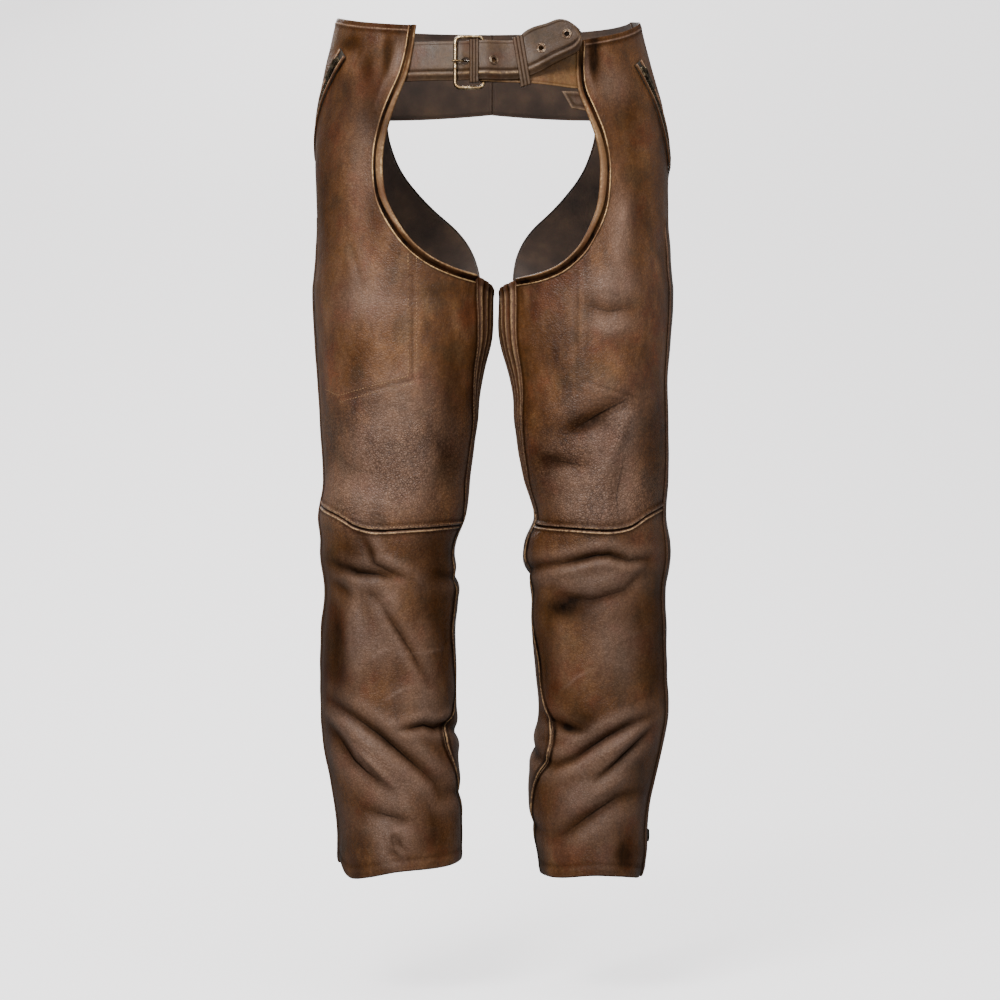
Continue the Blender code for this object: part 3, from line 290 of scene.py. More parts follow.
# Creases of each leg, by the face that they lie on: the line from the middle plane outwards and
# down (front and back: x and z, outer and inner: y and z), half width, depth, and the rise of the
# leather above and below it. A depth of less than 0 is a ridge or a scratch.
creases = {
    "r": {
        "front": (
            (((171, -553), (157, -559), (145, -563), (122, -565), (105, -570)), 5, 4.5, 1.6, 1.6),
            (((142, -519), (130, -540), (126, -553), (113, -560), (88, -571)), 4.5, 3.4, 2.2, 0.4),
            (((128, -586), (119, -597), (108, -615), (88, -646), (66, -686)), 4.2, 3.0, 1.4, 0.8),
            (((172, -574), (157, -584), (150, -591)), 6, 2.2, 1.0, 0.5),
            (((150, -588), (145, -620), (143, -660), (146, -700)), 9, -2.6, 0, 0),
            (((170, -596), (166, -640), (170, -690)), 9, 2.2, 0.4, 0.4),
            (((112, -588), (100, -606)), 10, -2.0, 0, 0),
            (((176, -703), (143, -723), (120, -739), (98, -757), (75, -776), (60, -791), (54, -806)), 6.5,
             7.4, 2.6, 3.4),
            (((146, -750), (128, -768), (114, -781), (103, -798)), 10, -3.4, 0, 0),
            (((178, -726), (150, -766), (135, -778), (109, -797)), 7, 4.6, 1.4, 1.4),
            (((140, -818), (105, -826), (80, -833)), 8, 3.4, 0.6, 1.8),
            (((110, -838), (107, -851), (104, -864), (88, -876)), 6, 2.4, 1.8, 1.2),
            (((100, -733), (72, -728), (60, -732), (40, -724)), 4.2, 5.6, 1.8, 1.2),
            (((150, -212), (143, -238), (136, -264)), 3, 0.9, 0.7, 0.2),
            (((62, -600), (50, -640), (56, -690)), 9, 2.0, 1.0, 0.6),
            (((120, -130), (142, -190), (150, -300)), 15, -1.4, 0, 0),
            (((70, -400), (50, -440), (62, -490)), 13, 2.2, 0.6, 0.8),
            (((175, -430), (150, -452), (118, -458)), 15, 1.6, 1.0, 0.8),
            # the ends of the belt under the panels, and the stitched lines beside the opening
            (((94, 22), (96, 0), (104, -28), (113, -42)), 1.7, -0.9, 0, 0),
            (((100, 10), (102, -8), (109, -28), (118, -48), (124, -66)), 2.2, -1.5, 0, 0),
            (((108, 14), (110, -6), (116, -28), (124, -46)), 5.5, 0.8, 0, 0.5),
            (((141, 0), (150, -18)), 2.4, 1.1, 0.4, 0.4),
            (((84.5, -222), (84.5, -352), (84, -356), (165, -376.5)), 2.4, 1.3, 0.5, 0.5),
            # narrow ridges and scratches
            (((143, -756), (128, -770), (117, -783), (103, -797)), 3.6, -3.4, 0, 0),
            (((98, -840), (110, -846), (110, -856), (100, -864), (92, -874)), 3.2, -3.2, 0, 0),
            (((101, -848), (98, -856), (92, -862)), 3.6, 2.4, 0, 0),
            (((74, -800), (62, -830), (58, -862)), 10, 2.6, 0.4, 0.4),
            (((92, -812), (84, -840), (80, -866)), 9, -1.8, 0, 0),
            (((131, -658), (118, -650), (104, -644)), 1.6, -0.7, 0, 0),
            (((116, -702), (101, -692), (85, -686)), 1.6, -0.9, 0, 0),
            (((91, -651), (72, -650), (51, -646)), 1.6, -0.6, 0, 0),
        ),
        "outer": (
            (((6, -549), (26, -548), (44, -556), (66, -551)), 7, 3.0, 1.2, 1.8),
            (((4, -708), (20, -714), (40, -712), (70, -700)), 8, 4.0, 1.8, 2.4),
            (((6, -740), (30, -744), (60, -752)), 7, 3.2, 1.2, 1.4),
            (((8, -808), (30, -812), (60, -822)), 8, 2.6, 1.0, 1.2),
        ),
        "inner": (
            (((-60, -566), (-20, -572), (24, -566), (66, -572)), 6, 3.4, 1.2, 1.6),
            (((-56, -728), (-20, -735), (22, -742), (66, -738)), 6, 4.2, 1.6, 2.0),
            (((-50, -800), (-10, -808), (40, -800)), 7, 2.6, 1.0, 1.0),
        ),
        "back": (
            (((182, -508), (140, -520), (96, -518), (48, -526)), 7, 4.6, 1.8, 2.4),
            (((176, -540), (134, -548), (90, -556), (46, -552)), 6, 5.6, 2.2, 2.8),
            (((150, -572), (116, -580), (72, -576)), 7, 3.6, 1.4, 1.8),
            (((180, -596), (150, -606), (120, -604)), 8, 2.6, 1.0, 1.2),
            (((178, -704), (140, -722), (96, -740), (52, -744)), 7, 5.4, 2.2, 2.8),
            (((170, -742), (130, -762), (84, -778)), 7, 4.6, 1.8, 2.2),
            (((140, -800), (96, -806), (54, -802)), 8, 3.2, 1.2, 1.4),
            (((160, -836), (126, -846), (100, -842)), 8, 2.2, 0.8, 1.0),
            (((60, -300), (86, -330), (120, -340)), 12, 2.8, 1.2, 1.4),
            (((70, -262), (104, -292), (150, -300)), 14, 2.4, 1.0, 1.2),
        ),
    },
    "l": {
        "front": (
            (((52, -556), (72, -554), (87, -551), (111, -545), (127, -544), (149, -551), (170, -549)), 4.6,
             6.4, 2.0, 3.0),
            (((66, -582), (84, -590), (108, -592), (143, -582), (172, -554)), 7, 3.4, 2.2, 0.5),
            (((52, -716), (65, -724), (82, -731), (101, -735)), 5, 3.4, 0.8, 1.4),
            (((172, -719), (144, -730), (124, -740), (106, -751), (87, -764), (62, -774)), 5.4, 6.6, 2.6,
             3.2),
            (((174, -731), (144, -758), (129, -772), (112, -787)), 4.8, 5.0, 2.8, 1.4),
            (((160, -800), (134, -806), (114, -818), (99, -828), (70, -850)), 8, 4.0, 1.4, 1.8),
            (((158, -742), (136, -760), (118, -776)), 5, -3.0, 0, 0),
            (((150, -780), (124, -796), (104, -808)), 8, -2.2, 0, 0),
            (((78, -416), (95, -405), (114, -394), (146, -377)), 10, 5.0, 1.0, 2.0),
            (((48, -440), (74, -444), (102, -449)), 8, 3.4, 0.6, 1.2),
            (((152, -384), (138, -415), (120, -462)), 10, -4.2, 0, 0),
            (((142, -440), (134, -480), (136, -510)), 12, 2.2, 0.3, 0.3),
            (((110, -252), (128, -262), (146, -262)), 9, -2.4, 0, 0),
            (((104, -278), (124, -284), (146, -280)), 6, 2.2, 0.6, 0.6),
            (((108, -300), (124, -306), (142, -302)), 8, -2.0, 0, 0),
            (((150, -150), (140, -190), (136, -236)), 8, -2.2, 0, 0),
            (((120, -140), (130, -220), (118, -300)), 14, -1.5, 0, 0),
            (((60, -604), (54, -640), (60, -690)), 9, 2.0, 0.8, 0.8),
            (((158, -690), (150, -640), (160, -590)), 14, 1.8, 0.6, 0.8),
            (((150, -846), (140, -868), (146, -886)), 8, 1.8, 0.4, 1.0),
            # the ends of the belt under the panels, and the stitched lines beside the opening
            (((102, 5), (102, -12), (103, -28), (106, -38), (112, -52)), 2.0, -1.3, 0, 0),
            (((108, 6), (109, -14), (111, -34)), 4.5, 0.8, 0, 0.4),
            (((91.5, -242), (91.5, -352)), 2.4, 1.3, 0.5, 0.5),
            (((95, -356), (157, -376), (168, -377)), 2.0, 1.2, 0.4, 0.4),
            # narrow ridges and scratches
            (((78, -689), (92, -676), (108, -668)), 1.6, -0.8, 0, 0),
            (((123, -656), (138, -664), (154, -669)), 1.6, -0.6, 0, 0),
            (((127, -643), (144, -634), (160, -628)), 1.6, -0.6, 0, 0),
        ),
        "outer": (
            (((4, -550), (20, -546), (40, -550), (64, -560)), 7, 3.4, 1.6, 2.0),
            (((6, -708), (20, -704), (40, -708), (68, -722)), 8, 4.0, 1.8, 2.4),
            (((8, -734), (30, -742), (62, -738)), 7, 3.0, 1.2, 1.4),
            (((6, -798), (30, -800), (56, -808)), 8, 2.6, 1.0, 1.2),
        ),
        "inner": (
            (((-62, -558), (-24, -560), (20, -572), (64, -566)), 6, 3.8, 1.4, 1.8),
            (((-58, -770), (-20, -762), (24, -752), (66, -756)), 6, 4.2, 1.6, 2.0),
            (((-50, -846), (-12, -838), (36, -842)), 7, 2.4, 0.8, 1.0),
        ),
        "back": (
            (((50, -512), (92, -522), (138, -516), (184, -526)), 7, 4.6, 1.8, 2.4),
            (((48, -548), (94, -546), (140, -558), (180, -550)), 6, 5.6, 2.2, 2.8),
            (((70, -580), (110, -574), (146, -586)), 7, 3.6, 1.4, 1.8),
            (((116, -610), (150, -602), (182, -612)), 8, 2.6, 1.0, 1.2),
            (((56, -756), (100, -748), (142, -730), (184, -722)), 7, 5.4, 2.2, 2.8),
            (((84, -784), (130, -770), (168, -752)), 7, 4.6, 1.8, 2.2),
            (((58, -812), (98, -804), (140, -810)), 8, 3.2, 1.2, 1.4),
            (((64, -296), (90, -322), (126, -330)), 12, 2.8, 1.2, 1.4),
            (((74, -258), (110, -284), (156, -290)), 14, 2.4, 1.0, 1.2),
        ),
    },
}
faceAxes = {"front": (0, -1), "back": (0, 1), "outer": (1, 0), "inner": (-1, 0)}


def creaseRelief(side, points, normals):
    # how far the leather stands out, how deep in a crease a point lies (for painted shade), how high on a
    # rise or a scratch (for painted highlight and light scratches), how far it is across the nearest
    # crease, and how hard that one is pressed (for the painted dark line in its bottom)
    x, y, z = points[..., 0] * sideSign[side], points[..., 1], points[..., 2]
    outwards = normals[..., 0] * sideSign[side]
    relief, sunk, ridgeHighlightAndScratch, press = (np.zeros_like(x) for _ in range(4))
    cross, nearest = np.full(x.shape, 99.0), np.full(x.shape, 1e9)
    listed = [(face, *row) for face, rows in creases[side].items() for row in rows]
    for face, line, width, depth, above, below in listed:
        axisX, axisY = faceAxes[face]
        facing = smoothStep((outwards * axisX + normals[..., 1] * axisY) / 0.55)
        across = y if axisX else x
        line = np.array(line, float)
        travelled = arcs(line, 0)
        overall = line[-1] - line[0]
        rise = overall[0] if abs(overall[0]) >= abs(overall[1]) else -overall[1]
        best = np.full(x.shape, 1e9)
        signed, along = np.zeros_like(x), np.zeros_like(x)
        for start, end, before, after in zip(line, line[1:], travelled, travelled[1:]):
            length = after - before
            run = (end - start) / length
            toX, toZ = across - start[0], z - start[1]
            reach = np.clip(toX * run[0] + toZ * run[1], 0, length)
            away = np.hypot(toX - reach * run[0], toZ - reach * run[1])
            nearer = away < best
            turned = (toZ * run[0] - toX * run[1]) * (-1 if rise < 0 else 1)
            best = np.where(nearer, away, best)
            signed = np.where(nearer, np.where(turned < 0, -away, away), signed)
            along = np.where(nearer, (before + reach) / travelled[-1], along)
        fade = np.sin(pi * (0.06 + 0.88 * along)) ** 0.8 * facing
        valley = hill(best, 0, width, 1.25) * fade
        upper, lower = (hill(signed, way * 2.1 * width, 1.5 * width) for way in (1, -1))
        raised = (upper * above + lower * below) * fade
        relief += raised - valley * depth
        if depth > 0:
            sunk += hill(best / width, 0, 0.85) * fade * min(1, depth / 4.5)
            ridgeHighlightAndScratch += raised / 5
            held = (best < nearest) & (fade > 0.02)
            cross, nearest = np.where(held, signed, cross), np.where(held, best, nearest)
            press = np.where(held, fade * min(1, depth / 4.2), press)
        else:
            ridgeHighlightAndScratch += valley * -depth / (1.4 * width)
    return relief, np.clip(sunk, 0, 1), np.clip(ridgeHighlightAndScratch, 0, 1), cross, press


def unevenness(points, wavelength, seed, waves=14):
    # a soft random surface with an average height of 1, from waves of about this length
    draw = np.random.default_rng(seed)
    total = np.zeros(points.shape[:-1])
    for _ in range(waves):
        direction = draw.normal(size=3)
        direction *= 2 * pi / (wavelength * draw.uniform(0.7, 1.5)) / np.linalg.norm(direction)
        total += np.sin(points @ direction + draw.uniform(0, 2 * pi))
    return total / (waves / 2) ** 0.5


def slackness(points):
    # the long and the short waves of leather that hangs loose
    return 0.55 * unevenness(points, 110, 3) + 0.16 * unevenness(points, 34, 7)


# Darker and lighter places of the front: stains and wear, with painted shade towards the sides and
# painted sheen on the thighs and folds. x and z of the middle, reach across and down, how dark, how light
patches = {
    "r": (
        (152, 8, 14, 10, 0.8, 0), (134, -18, 9, 18, 0.45, 0), (112, -6, 6, 26, 0.7, 0),
        (128, -60, 26, 36, 0.48, 0), (150, -50, 30, 60, 0.14, 0), (96, 12, 10, 22, 0.5, 0),
        (180, -140, 16, 90, 0.4, 0), (140, -110, 14, 60, 0, 0.25), (122, -185, 12, 30, 0.4, 0),
        (60, -262, 40, 9, 0.25, 0), (130, -270, 34, 26, 0, 0.35), (46, -350, 12, 60, 0.45, 0),
        (150, -328, 26, 20, 0.35, 0), (100, -400, 34, 46, 0, 0.4), (168, -240, 20, 60, 0.3, 0),
        (46, -450, 12, 40, 0.3, 0), (116, -462, 60, 44, 0, 0.4), (160, -545, 24, 24, 0.45, 0),
        (60, -560, 18, 40, 0.35, 0), (120, -640, 26, 26, 0, 0.35), (80, -700, 26, 20, 0, 0.3),
        (172, -640, 16, 60, 0.4, 0), (134, -764, 16, 16, 0, 0.35), (108, -800, 16, 34, 0, 0.4),
        (112, -592, 14, 14, 0, 0.4), (146, -620, 8, 40, 0, 0.35), (70, -850, 26, 16, 0.3, 0),
    ),
    "l": (
        (110, -12, 5, 24, 0.6, 0), (140, -60, 34, 70, 0.22, 0), (108, -10, 10, 26, 0.5, 0),
        (130, -40, 20, 22, 0, 0.25), (150, -90, 12, 50, 0.35, 0), (136, -200, 10, 50, 0, 0.35),
        (160, -170, 12, 40, 0.35, 0), (128, -255, 26, 16, 0, 0.4), (128, -296, 24, 12, 0, 0.3),
        (104, -404, 34, 10, 0.55, 0), (60, -446, 16, 26, 0.5, 0), (120, -480, 50, 34, 0, 0.35),
        (132, -430, 18, 40, 0, 0.45), (176, -430, 14, 80, 0.4, 0), (100, -490, 30, 14, 0, 0.35),
        (72, -512, 20, 12, 0.3, 0), (118, -572, 38, 12, 0, 0.6), (78, -600, 22, 12, 0.7, 0),
        (130, -640, 26, 30, 0, 0.25), (176, -640, 14, 60, 0.4, 0), (92, -724, 24, 14, 0.45, 0),
        (104, -800, 30, 14, 0, 0.4), (136, -752, 18, 10, 0, 0.35), (148, -650, 10, 40, 0, 0.25),
        (146, -868, 12, 14, 0.6, 0),
    ),
}
finish = {
    # painted shade: how much darker it is below the knee and where the leather turns away from the front
    "shinTop": -490, "shin": {"r": 0.22, "l": 0.29}, "turned": 0.26,
    # where the grain is coarsest, and the most that wear and the painted highlight of the folds lighten it
    "kneeAt": -455, "kneeReach": 75, "mostLightened": 0.36,
}


def patinaAndPaintedLight(side, points, normals):
    x, z = points[..., 0] * sideSign[side], points[..., 2]
    facing = smoothStep(-normals[..., 1] / 0.5)
    turned = smoothStep((0.66 - np.abs(normals[..., 1])) / 0.5)
    # painted shade: darker below the knee and towards the sides, where the light falls off
    shade = finish["shin"][side] * smoothStep((finish["shinTop"] - z) / 60) + finish["turned"] * turned
    worn = np.zeros_like(x)
    for atX, atZ, reachX, reachZ, dark, light in patches[side]:
        place = hill(x, atX, reachX) * hill(z, atZ, reachZ) * facing
        shade += place * dark
        worn += place * light
    return shade, worn


def stations(length, fine, coarse, margin):
    # shares of a length, close together near both ends
    ends = np.arange(0, margin - 0.4 * fine, fine)
    middle = np.linspace(margin, length - margin, max(2, round((length - 2 * margin) / coarse)))
    return np.concatenate([ends, middle, length - ends[::-1]]) / length


def arcs(points, axis):
    # distances along a grid or a line from its first row or column
    steps = np.linalg.norm(np.diff(points, axis=axis), axis=-1)
    start = np.zeros_like(np.take(steps, [0], axis=axis))
    return np.concatenate([start, np.cumsum(steps, axis=axis)], axis=axis)


def gridNormals(points, outwards):
    normal = unit(np.cross(np.gradient(points, axis=1), np.gradient(points, axis=0)))
    return normal * np.sign((normal * outwards).sum())


def smoothed(values):
    return np.convolve(np.pad(values, 4, mode="edge"), np.ones(9) / 9, "valid")


def meshOf(bm, name):
    mesh = bpy.data.meshes.new(name)
    bm.to_mesh(mesh)
    bm.free()
    return mesh


def addObject(name, data, looks=()):
    if looks:
        data.shade_smooth()
    for look in looks:
        data.materials.append(look)
    obj = bpy.data.objects.new(name, data)
    bpy.context.scene.collection.objects.link(obj)
    return obj


def addWall(obj, thickness):
    wall = obj.modifiers.new("wall", "SOLIDIFY")
    wall.thickness, wall.offset = thickness * mm, -1
    wall.material_offset = 1 if len(obj.data.materials) > 1 else 0
    wall.material_offset_rim = 2 if len(obj.data.materials) > 2 else 0


def belongs(piece, node=None):
    # every new piece moves with the leather, and most stand for a solid
    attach(piece, "chaps")
    if node:
        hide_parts(node)
    return piece


def shell(name, points, outwards, looks, thickness, shade=0, worn=0, closed=False, marks=()):
    # a grid of points in millimetres as a sheet with a wall, facing outwards
    rows, columns = points.shape[:2]
    bm = bmesh.new()
    bmesh.ops.create_grid(bm, x_segments=columns - 1, y_segments=rows - 1, size=1)
    mesh = meshOf(bm, name)
    flat = np.zeros(len(mesh.vertices) * 3, np.float32)
    mesh.vertices.foreach_get("co", flat)
    column = np.rint((flat[0::3] + 1) / 2 * (columns - 1)).astype(int)
    row = np.rint((flat[1::3] + 1) / 2 * (rows - 1)).astype(int)
    mesh.vertices.foreach_set("co", (points[row, column] * mm).astype(np.float32).ravel())
    for label, values in (("shade", shade), ("worn", worn), *marks):
        values = np.broadcast_to(np.asarray(values, float), (rows, columns))[row, column]
        mesh.attributes.new(label, "FLOAT", "POINT").data.foreach_set("value", values.astype(np.float32))
    mesh.update()
    normal, first = np.zeros(len(mesh.polygons) * 3, np.float32), np.zeros(len(mesh.polygons), np.int32)
    mesh.polygons.foreach_get("normal", normal)
    mesh.polygons.foreach_get("loop_start", first)
    corners = np.zeros(len(mesh.loops), np.int32)
    mesh.loops.foreach_get("vertex_index", corners)
    ways = outwards[row[corners[first]], column[corners[first]]]
    if (normal.reshape(-1, 3) * ways).sum() < 0:
        mesh.flip_normals()
        mesh.loops.foreach_get("vertex_index", corners)
    runs = np.stack([column / max(columns - 1, 1), row / max(rows - 1, 1)], -1)
    lengths = np.array((arcs(points, 1)[rows // 2, -1], arcs(points, 0)[-1, columns // 2])) * mm
    uv = mesh.uv_layers.new(name="run")
    uv.data.foreach_set("uv", (runs[corners] * lengths).astype(np.float32).ravel())
    if closed:
        bm = bmesh.new()
        bm.from_mesh(mesh)
        bmesh.ops.remove_doubles(bm, verts=bm.verts, dist=0.02 * mm)
        bm.to_mesh(mesh)
        bm.free()
    obj = addObject(name, mesh, looks)
    addWall(obj, thickness)
    return obj


def inset(panel, edge, distance):
    # the line on a panel that keeps this distance from one of its edges, and the way out of it
    axis = 1 if edge in ("left", "right") else 0
    points, normals, reach = panel["points"], panel["normals"], arcs(panel["points"], axis)
    if axis == 0:
        points, normals, reach = points.swapaxes(0, 1), normals.swapaxes(0, 1), reach.T
    if edge in ("right", "bottom"):
        points, normals, reach = points[:, ::-1], normals[:, ::-1], reach[:, -1:] - reach[:, ::-1]
    away = np.broadcast_to(distance, len(reach))
    return [np.array([[np.interp(at, r, v[:, k]) for k in range(3)] for at, r, v in zip(away, reach, values)])
            for values in (points, normals)]


def evenly(line, out, pitch, start=0.0, end=0.0):
    # points at an even pitch along a line, with its ways out
    travelled = arcs(line, 0)
    at = np.linspace(start, travelled[-1] - end, max(2, int((travelled[-1] - start - end) / pitch)))
    return [np.stack([np.interp(at, travelled, values[:, k]) for k in range(3)], -1)
            for values in (line, out)]


def placement(point, along, out):
    # X along, Z out
    along = (along - out * along.dot(out)).normalized()
    return Matrix.Translation(point) @ Matrix((along, out.cross(along), out)).transposed().to_4x4()


def copies(name, template, placements, look):
    # one small shape at many places, as one mesh
    bm = bmesh.new()
    shape = np.array([vert.co for vert in template.vertices])
    for matrix in placements:
        turned = shape @ np.array(matrix.to_3x3()).T + np.array(matrix.translation)
        template.vertices.foreach_set("co", (turned * mm).astype(np.float32).ravel())
        bm.from_mesh(template)
    return addObject(name, meshOf(bm, name), (look,))


def spun(name, profile, centre, along, out, look, capped=False):
    # a profile of radius and height, spun about the way out of its centre
    bm = bmesh.new()
    line = [bm.verts.new((radius, 0, high)) for radius, high in profile]
    edges = [bm.edges.new(pair) for pair in zip(line, line[1:])]
    bmesh.ops.spin(bm, geom=line + edges, axis=(0, 0, 1), cent=(0, 0, 0), angle=2 * pi, steps=40,
                   use_merge=True)
    bmesh.ops.remove_doubles(bm, verts=bm.verts, dist=0.001)
    if capped:
        bmesh.ops.holes_fill(bm, edges=[edge for edge in bm.edges if edge.is_boundary], sides=0)
    bmesh.ops.recalc_face_normals(bm, faces=bm.faces)
    bmesh.ops.transform(bm, matrix=placement(Vector(centre), Vector(along), Vector(out)), verts=bm.verts)
    bmesh.ops.scale(bm, vec=(mm, mm, mm), verts=bm.verts)
    return addObject(name, meshOf(bm, name), (look,))


def tone(code):
    # an sRGB hex colour as linear red, green, blue and 1
    parts = [int(code[i : i + 2], 16) / 255 for i in (1, 3, 5)]
    return (*[part / 12.92 if part <= 0.04045 else ((part + 0.055) / 1.055) ** 2.4 for part in parts], 1)


def fill(tree, node, parts):
    # a node's settings and values, and its links, each given as the socket that it comes from
    for name, part in parts.items():
        if name == "stops":
            ramp = node.color_ramp.elements
            ramp.remove(ramp[1])
            for index, (place, code) in enumerate(part):
                stop = ramp[0] if index == 0 else ramp.new(place)
                stop.position, stop.color = place, tone(code)
        elif isinstance(part, bpy.types.NodeSocket):
            tree.links.new(part, node.inputs[name])
        elif isinstance(name, int) or name in node.inputs:
            node.inputs[name].default_value = tone(part) if isinstance(part, str) else part
        else:
            setattr(node, name, part)


def addNode(tree, kind, parts, out=0):
    node = tree.nodes.new("ShaderNode" + kind)
    fill(tree, node, parts)
    return node.outputs[out]


def newMaterial(name):
    # a material, its tree, its shader and the place of each point on its object
    made = bpy.data.materials.new(name)
    made.use_nodes = True
    tree = made.node_tree
    return made, tree, tree.nodes["Principled BSDF"], addNode(tree, "TexCoord", {}, "Object")


mixed = {"data_type": "RGBA"}
multiplied = mixed | {"blend_type": "MULTIPLY"}
clamped = {"operation": "MULTIPLY", "use_clamp": True}


def agedLeather(name, tones, pebble=3.0, rough=0.43, depth=1.0):
    # Full-grain cowhide, drum dyed and waxed, then rubbed back: dark wax stays in the grain, and the tan
    # of the hide shows on worn edges. The creases also carry painted shade and the rises a painted
    # highlight. Grain pebbles are about 1.5 mm on the hide and drawn coarser, so that they show.
    deep, dark, ground, mid, light, fadedAndHighlight, rubbed = tones
    made, tree, shader, place = newMaterial(name)
    shade, worn, cross, press, coarse = (addNode(tree, "Attribute", {"attribute_name": label}, "Fac")
                                         for label in ("shade", "worn", "cross", "press", "coarse"))
    long = addNode(tree, "Mapping", {"Scale": (1, 1, 0.45), "Vector": place})
    clouds = addNode(tree, "TexNoise", {
        "Scale": 15, "Detail": 7, "Roughness": 0.66, "Distortion": 0.5, "Vector": long,
    })
    stains = addNode(tree, "TexNoise", {
        "Scale": 46, "Detail": 5, "Roughness": 0.62, "Distortion": 0.3, "Vector": long,
    })
    specks = addNode(tree, "TexNoise", {"Scale": 270, "Detail": 4, "Roughness": 0.75, "Vector": place})
    cloudTone = addNode(tree, "ValToRGB", {
        "stops": ((0.36, dark), (0.46, ground), (0.55, mid), (0.68, light)), 0: clouds,
    })
    stainTone = addNode(tree, "ValToRGB", {"stops": ((0.36, dark), (0.5, ground), (0.66, light)), 0: stains})
    dyed = addNode(tree, "Mix", mixed | {0: 0.38, 6: cloudTone, 7: stainTone}, 2)
    # The dye took unevenly: redder, greener and greyer browns lie beside each other
    hue = addNode(tree, "TexNoise", {"Scale": 26, "Detail": 4, "Roughness": 0.6, "Vector": place})
    cast = addNode(tree, "ValToRGB", {
        "stops": ((0.36, "#ffdcc8"), (0.47, "#ffffff"), (0.53, "#fff2cf"), (0.64, "#dfe3d2")), 0: hue,
    })
    tinted = addNode(tree, "Mix", multiplied | {0: 0.85, 6: dyed, 7: cast}, 2)
    speckTone = addNode(tree, "ValToRGB", {"stops": ((0.38, "#a99b90"), (0.6, "#ffffff")), 0: specks})
    # wear and the painted highlight on rises turn the colour towards the faded tone
    pale = addNode(tree, "MapRange", {0: worn, 2: 0.4, 4: 0.5})
    paler = addNode(tree, "Mix", mixed | {0: pale, 6: tinted, 7: fadedAndHighlight}, 2)
    grainy = addNode(tree, "MapRange", {0: coarse, 3: 0.4, 4: 0.8})
    grained = addNode(tree, "Mix", multiplied | {0: grainy, 6: paler, 7: speckTone}, 2)
    # The pebbles, bent by noise so that no row shows
    bent = addNode(tree, "TexNoise", {"Scale": 90, "Detail": 2, "Vector": place}, "Color")
    shifted = addNode(tree, "VectorMath", {
        "operation": "MULTIPLY_ADD", 0: bent, 1: (0.007, 0.007, 0.007), 2: place,
    })
    pebbles = addNode(tree, "TexVoronoi", {
        "feature": "DISTANCE_TO_EDGE", "Scale": 1000 / pebble, "Vector": shifted,
    })
    domes = addNode(tree, "MapRange", {0: pebbles, 2: 0.3, "interpolation_type": "SMOOTHERSTEP"})
    between = addNode(tree, "MapRange", {0: domes, 2: 0.6, 3: 0.8, 4: 0.0})
    marked = addNode(tree, "Math", {"operation": "MULTIPLY", 0: between, 1: grainy})
    valleys = addNode(tree, "Mix", multiplied | {0: marked, 6: grained, 7: "#a08f80"}, 2)
    # Worn places break up along the grain, and dark ones, stains and painted shade, keep soft edges
    broken = addNode(tree, "MapRange", {0: specks, 1: 0.3, 2: 0.62, 3: 0.35, 4: 1.25})
    bare = addNode(tree, "MapRange", {0: addNode(tree, "Math", clamped | {0: worn, 1: broken}), 1: 0.45})
    lit = addNode(tree, "Mix", mixed | {0: bare, 6: valleys, 7: rubbed}, 2)
    soft = addNode(tree, "MapRange", {0: stains, 1: 0.3, 2: 0.7, 3: 0.6, 4: 1.15})
    shadedAndStained = addNode(tree, "Math", clamped | {0: shade, 1: soft})
    # The bottom of a fold is a thin dark line of painted shade
    away = addNode(tree, "Math", {"operation": "ABSOLUTE", 0: cross})
    thin = addNode(tree, "MapRange", {
        0: away, 1: 0.4, 2: 2.4, 3: 1.0, 4: 0.0, "interpolation_type": "SMOOTHSTEP",
    })
    folded = addNode(tree, "Math", clamped | {0: thin, 1: press})
    darkest = addNode(tree, "Math", {"operation": "MAXIMUM", 0: folded, 1: shadedAndStained})
    # Pores, pebbles and the loose wrinkles of a broken-in hide
    fine = addNode(tree, "TexNoise", {"Scale": 900, "Detail": 3, "Vector": place})
    high = addNode(tree, "Math", {"operation": "MULTIPLY_ADD", 0: fine, 1: 0.25, 2: domes})
    wrinkles = addNode(tree, "TexNoise", {
        "Scale": 62, "Detail": 7, "Roughness": 0.72, "Distortion": 0.9, "Vector": place,
    })
    loose = addNode(tree, "Bump", {"Strength": 0.6 * depth, "Distance": 0.002, "Height": wrinkles})
    bumpy = addNode(tree, "Math", {"operation": "MULTIPLY", 0: grainy, 1: 0.85 * depth})
    fill(tree, shader, {
        "Base Color": addNode(tree, "Mix", mixed | {0: darkest, 6: lit, 7: deep}, 2),
        "Roughness": addNode(tree, "MapRange", {0: stains, 1: 0.3, 2: 0.7, 3: rough - 0.08, 4: rough + 0.14}),
        "Specular IOR Level": addNode(tree, "MapRange", {0: shade, 2: 0.6, 3: 0.36, 4: 0.04}),
        "Normal": addNode(tree, "Bump", {
            "Strength": bumpy, "Distance": 0.0006, "Height": high, "Normal": loose,
        }),
    })
    return made


def suede(name):
    # The flesh side of split cowhide, brushed: matt and napped, and kept dark as painted shade for the
    # insides that show through the openings and holes
    made, tree, shader, place = newMaterial(name)
    nap = addNode(tree, "TexNoise", {"Scale": 700, "Detail": 4, "Roughness": 0.75, "Vector": place}, "Color")
    brushed = addNode(tree, "TexNoise", {"Scale": 34, "Detail": 4, "Vector": place})
    colour = addNode(tree, "ValToRGB", {
        "stops": ((0.3, "#2e2017"), (0.5, "#3c2b20"), (0.7, "#4c3829")), 0: brushed,
    })
    fill(tree, shader, {
        "Base Color": addNode(tree, "Mix", mixed | {"blend_type": "OVERLAY", 0: 0.5, 6: colour, 7: nap}, 2),
        "Roughness": 0.92, "Sheen Weight": 0.25,
        "Normal": addNode(tree, "Bump", {"Strength": 0.5, "Distance": 0.0005, "Height": nap.node.outputs[0]}),
    })
    return made


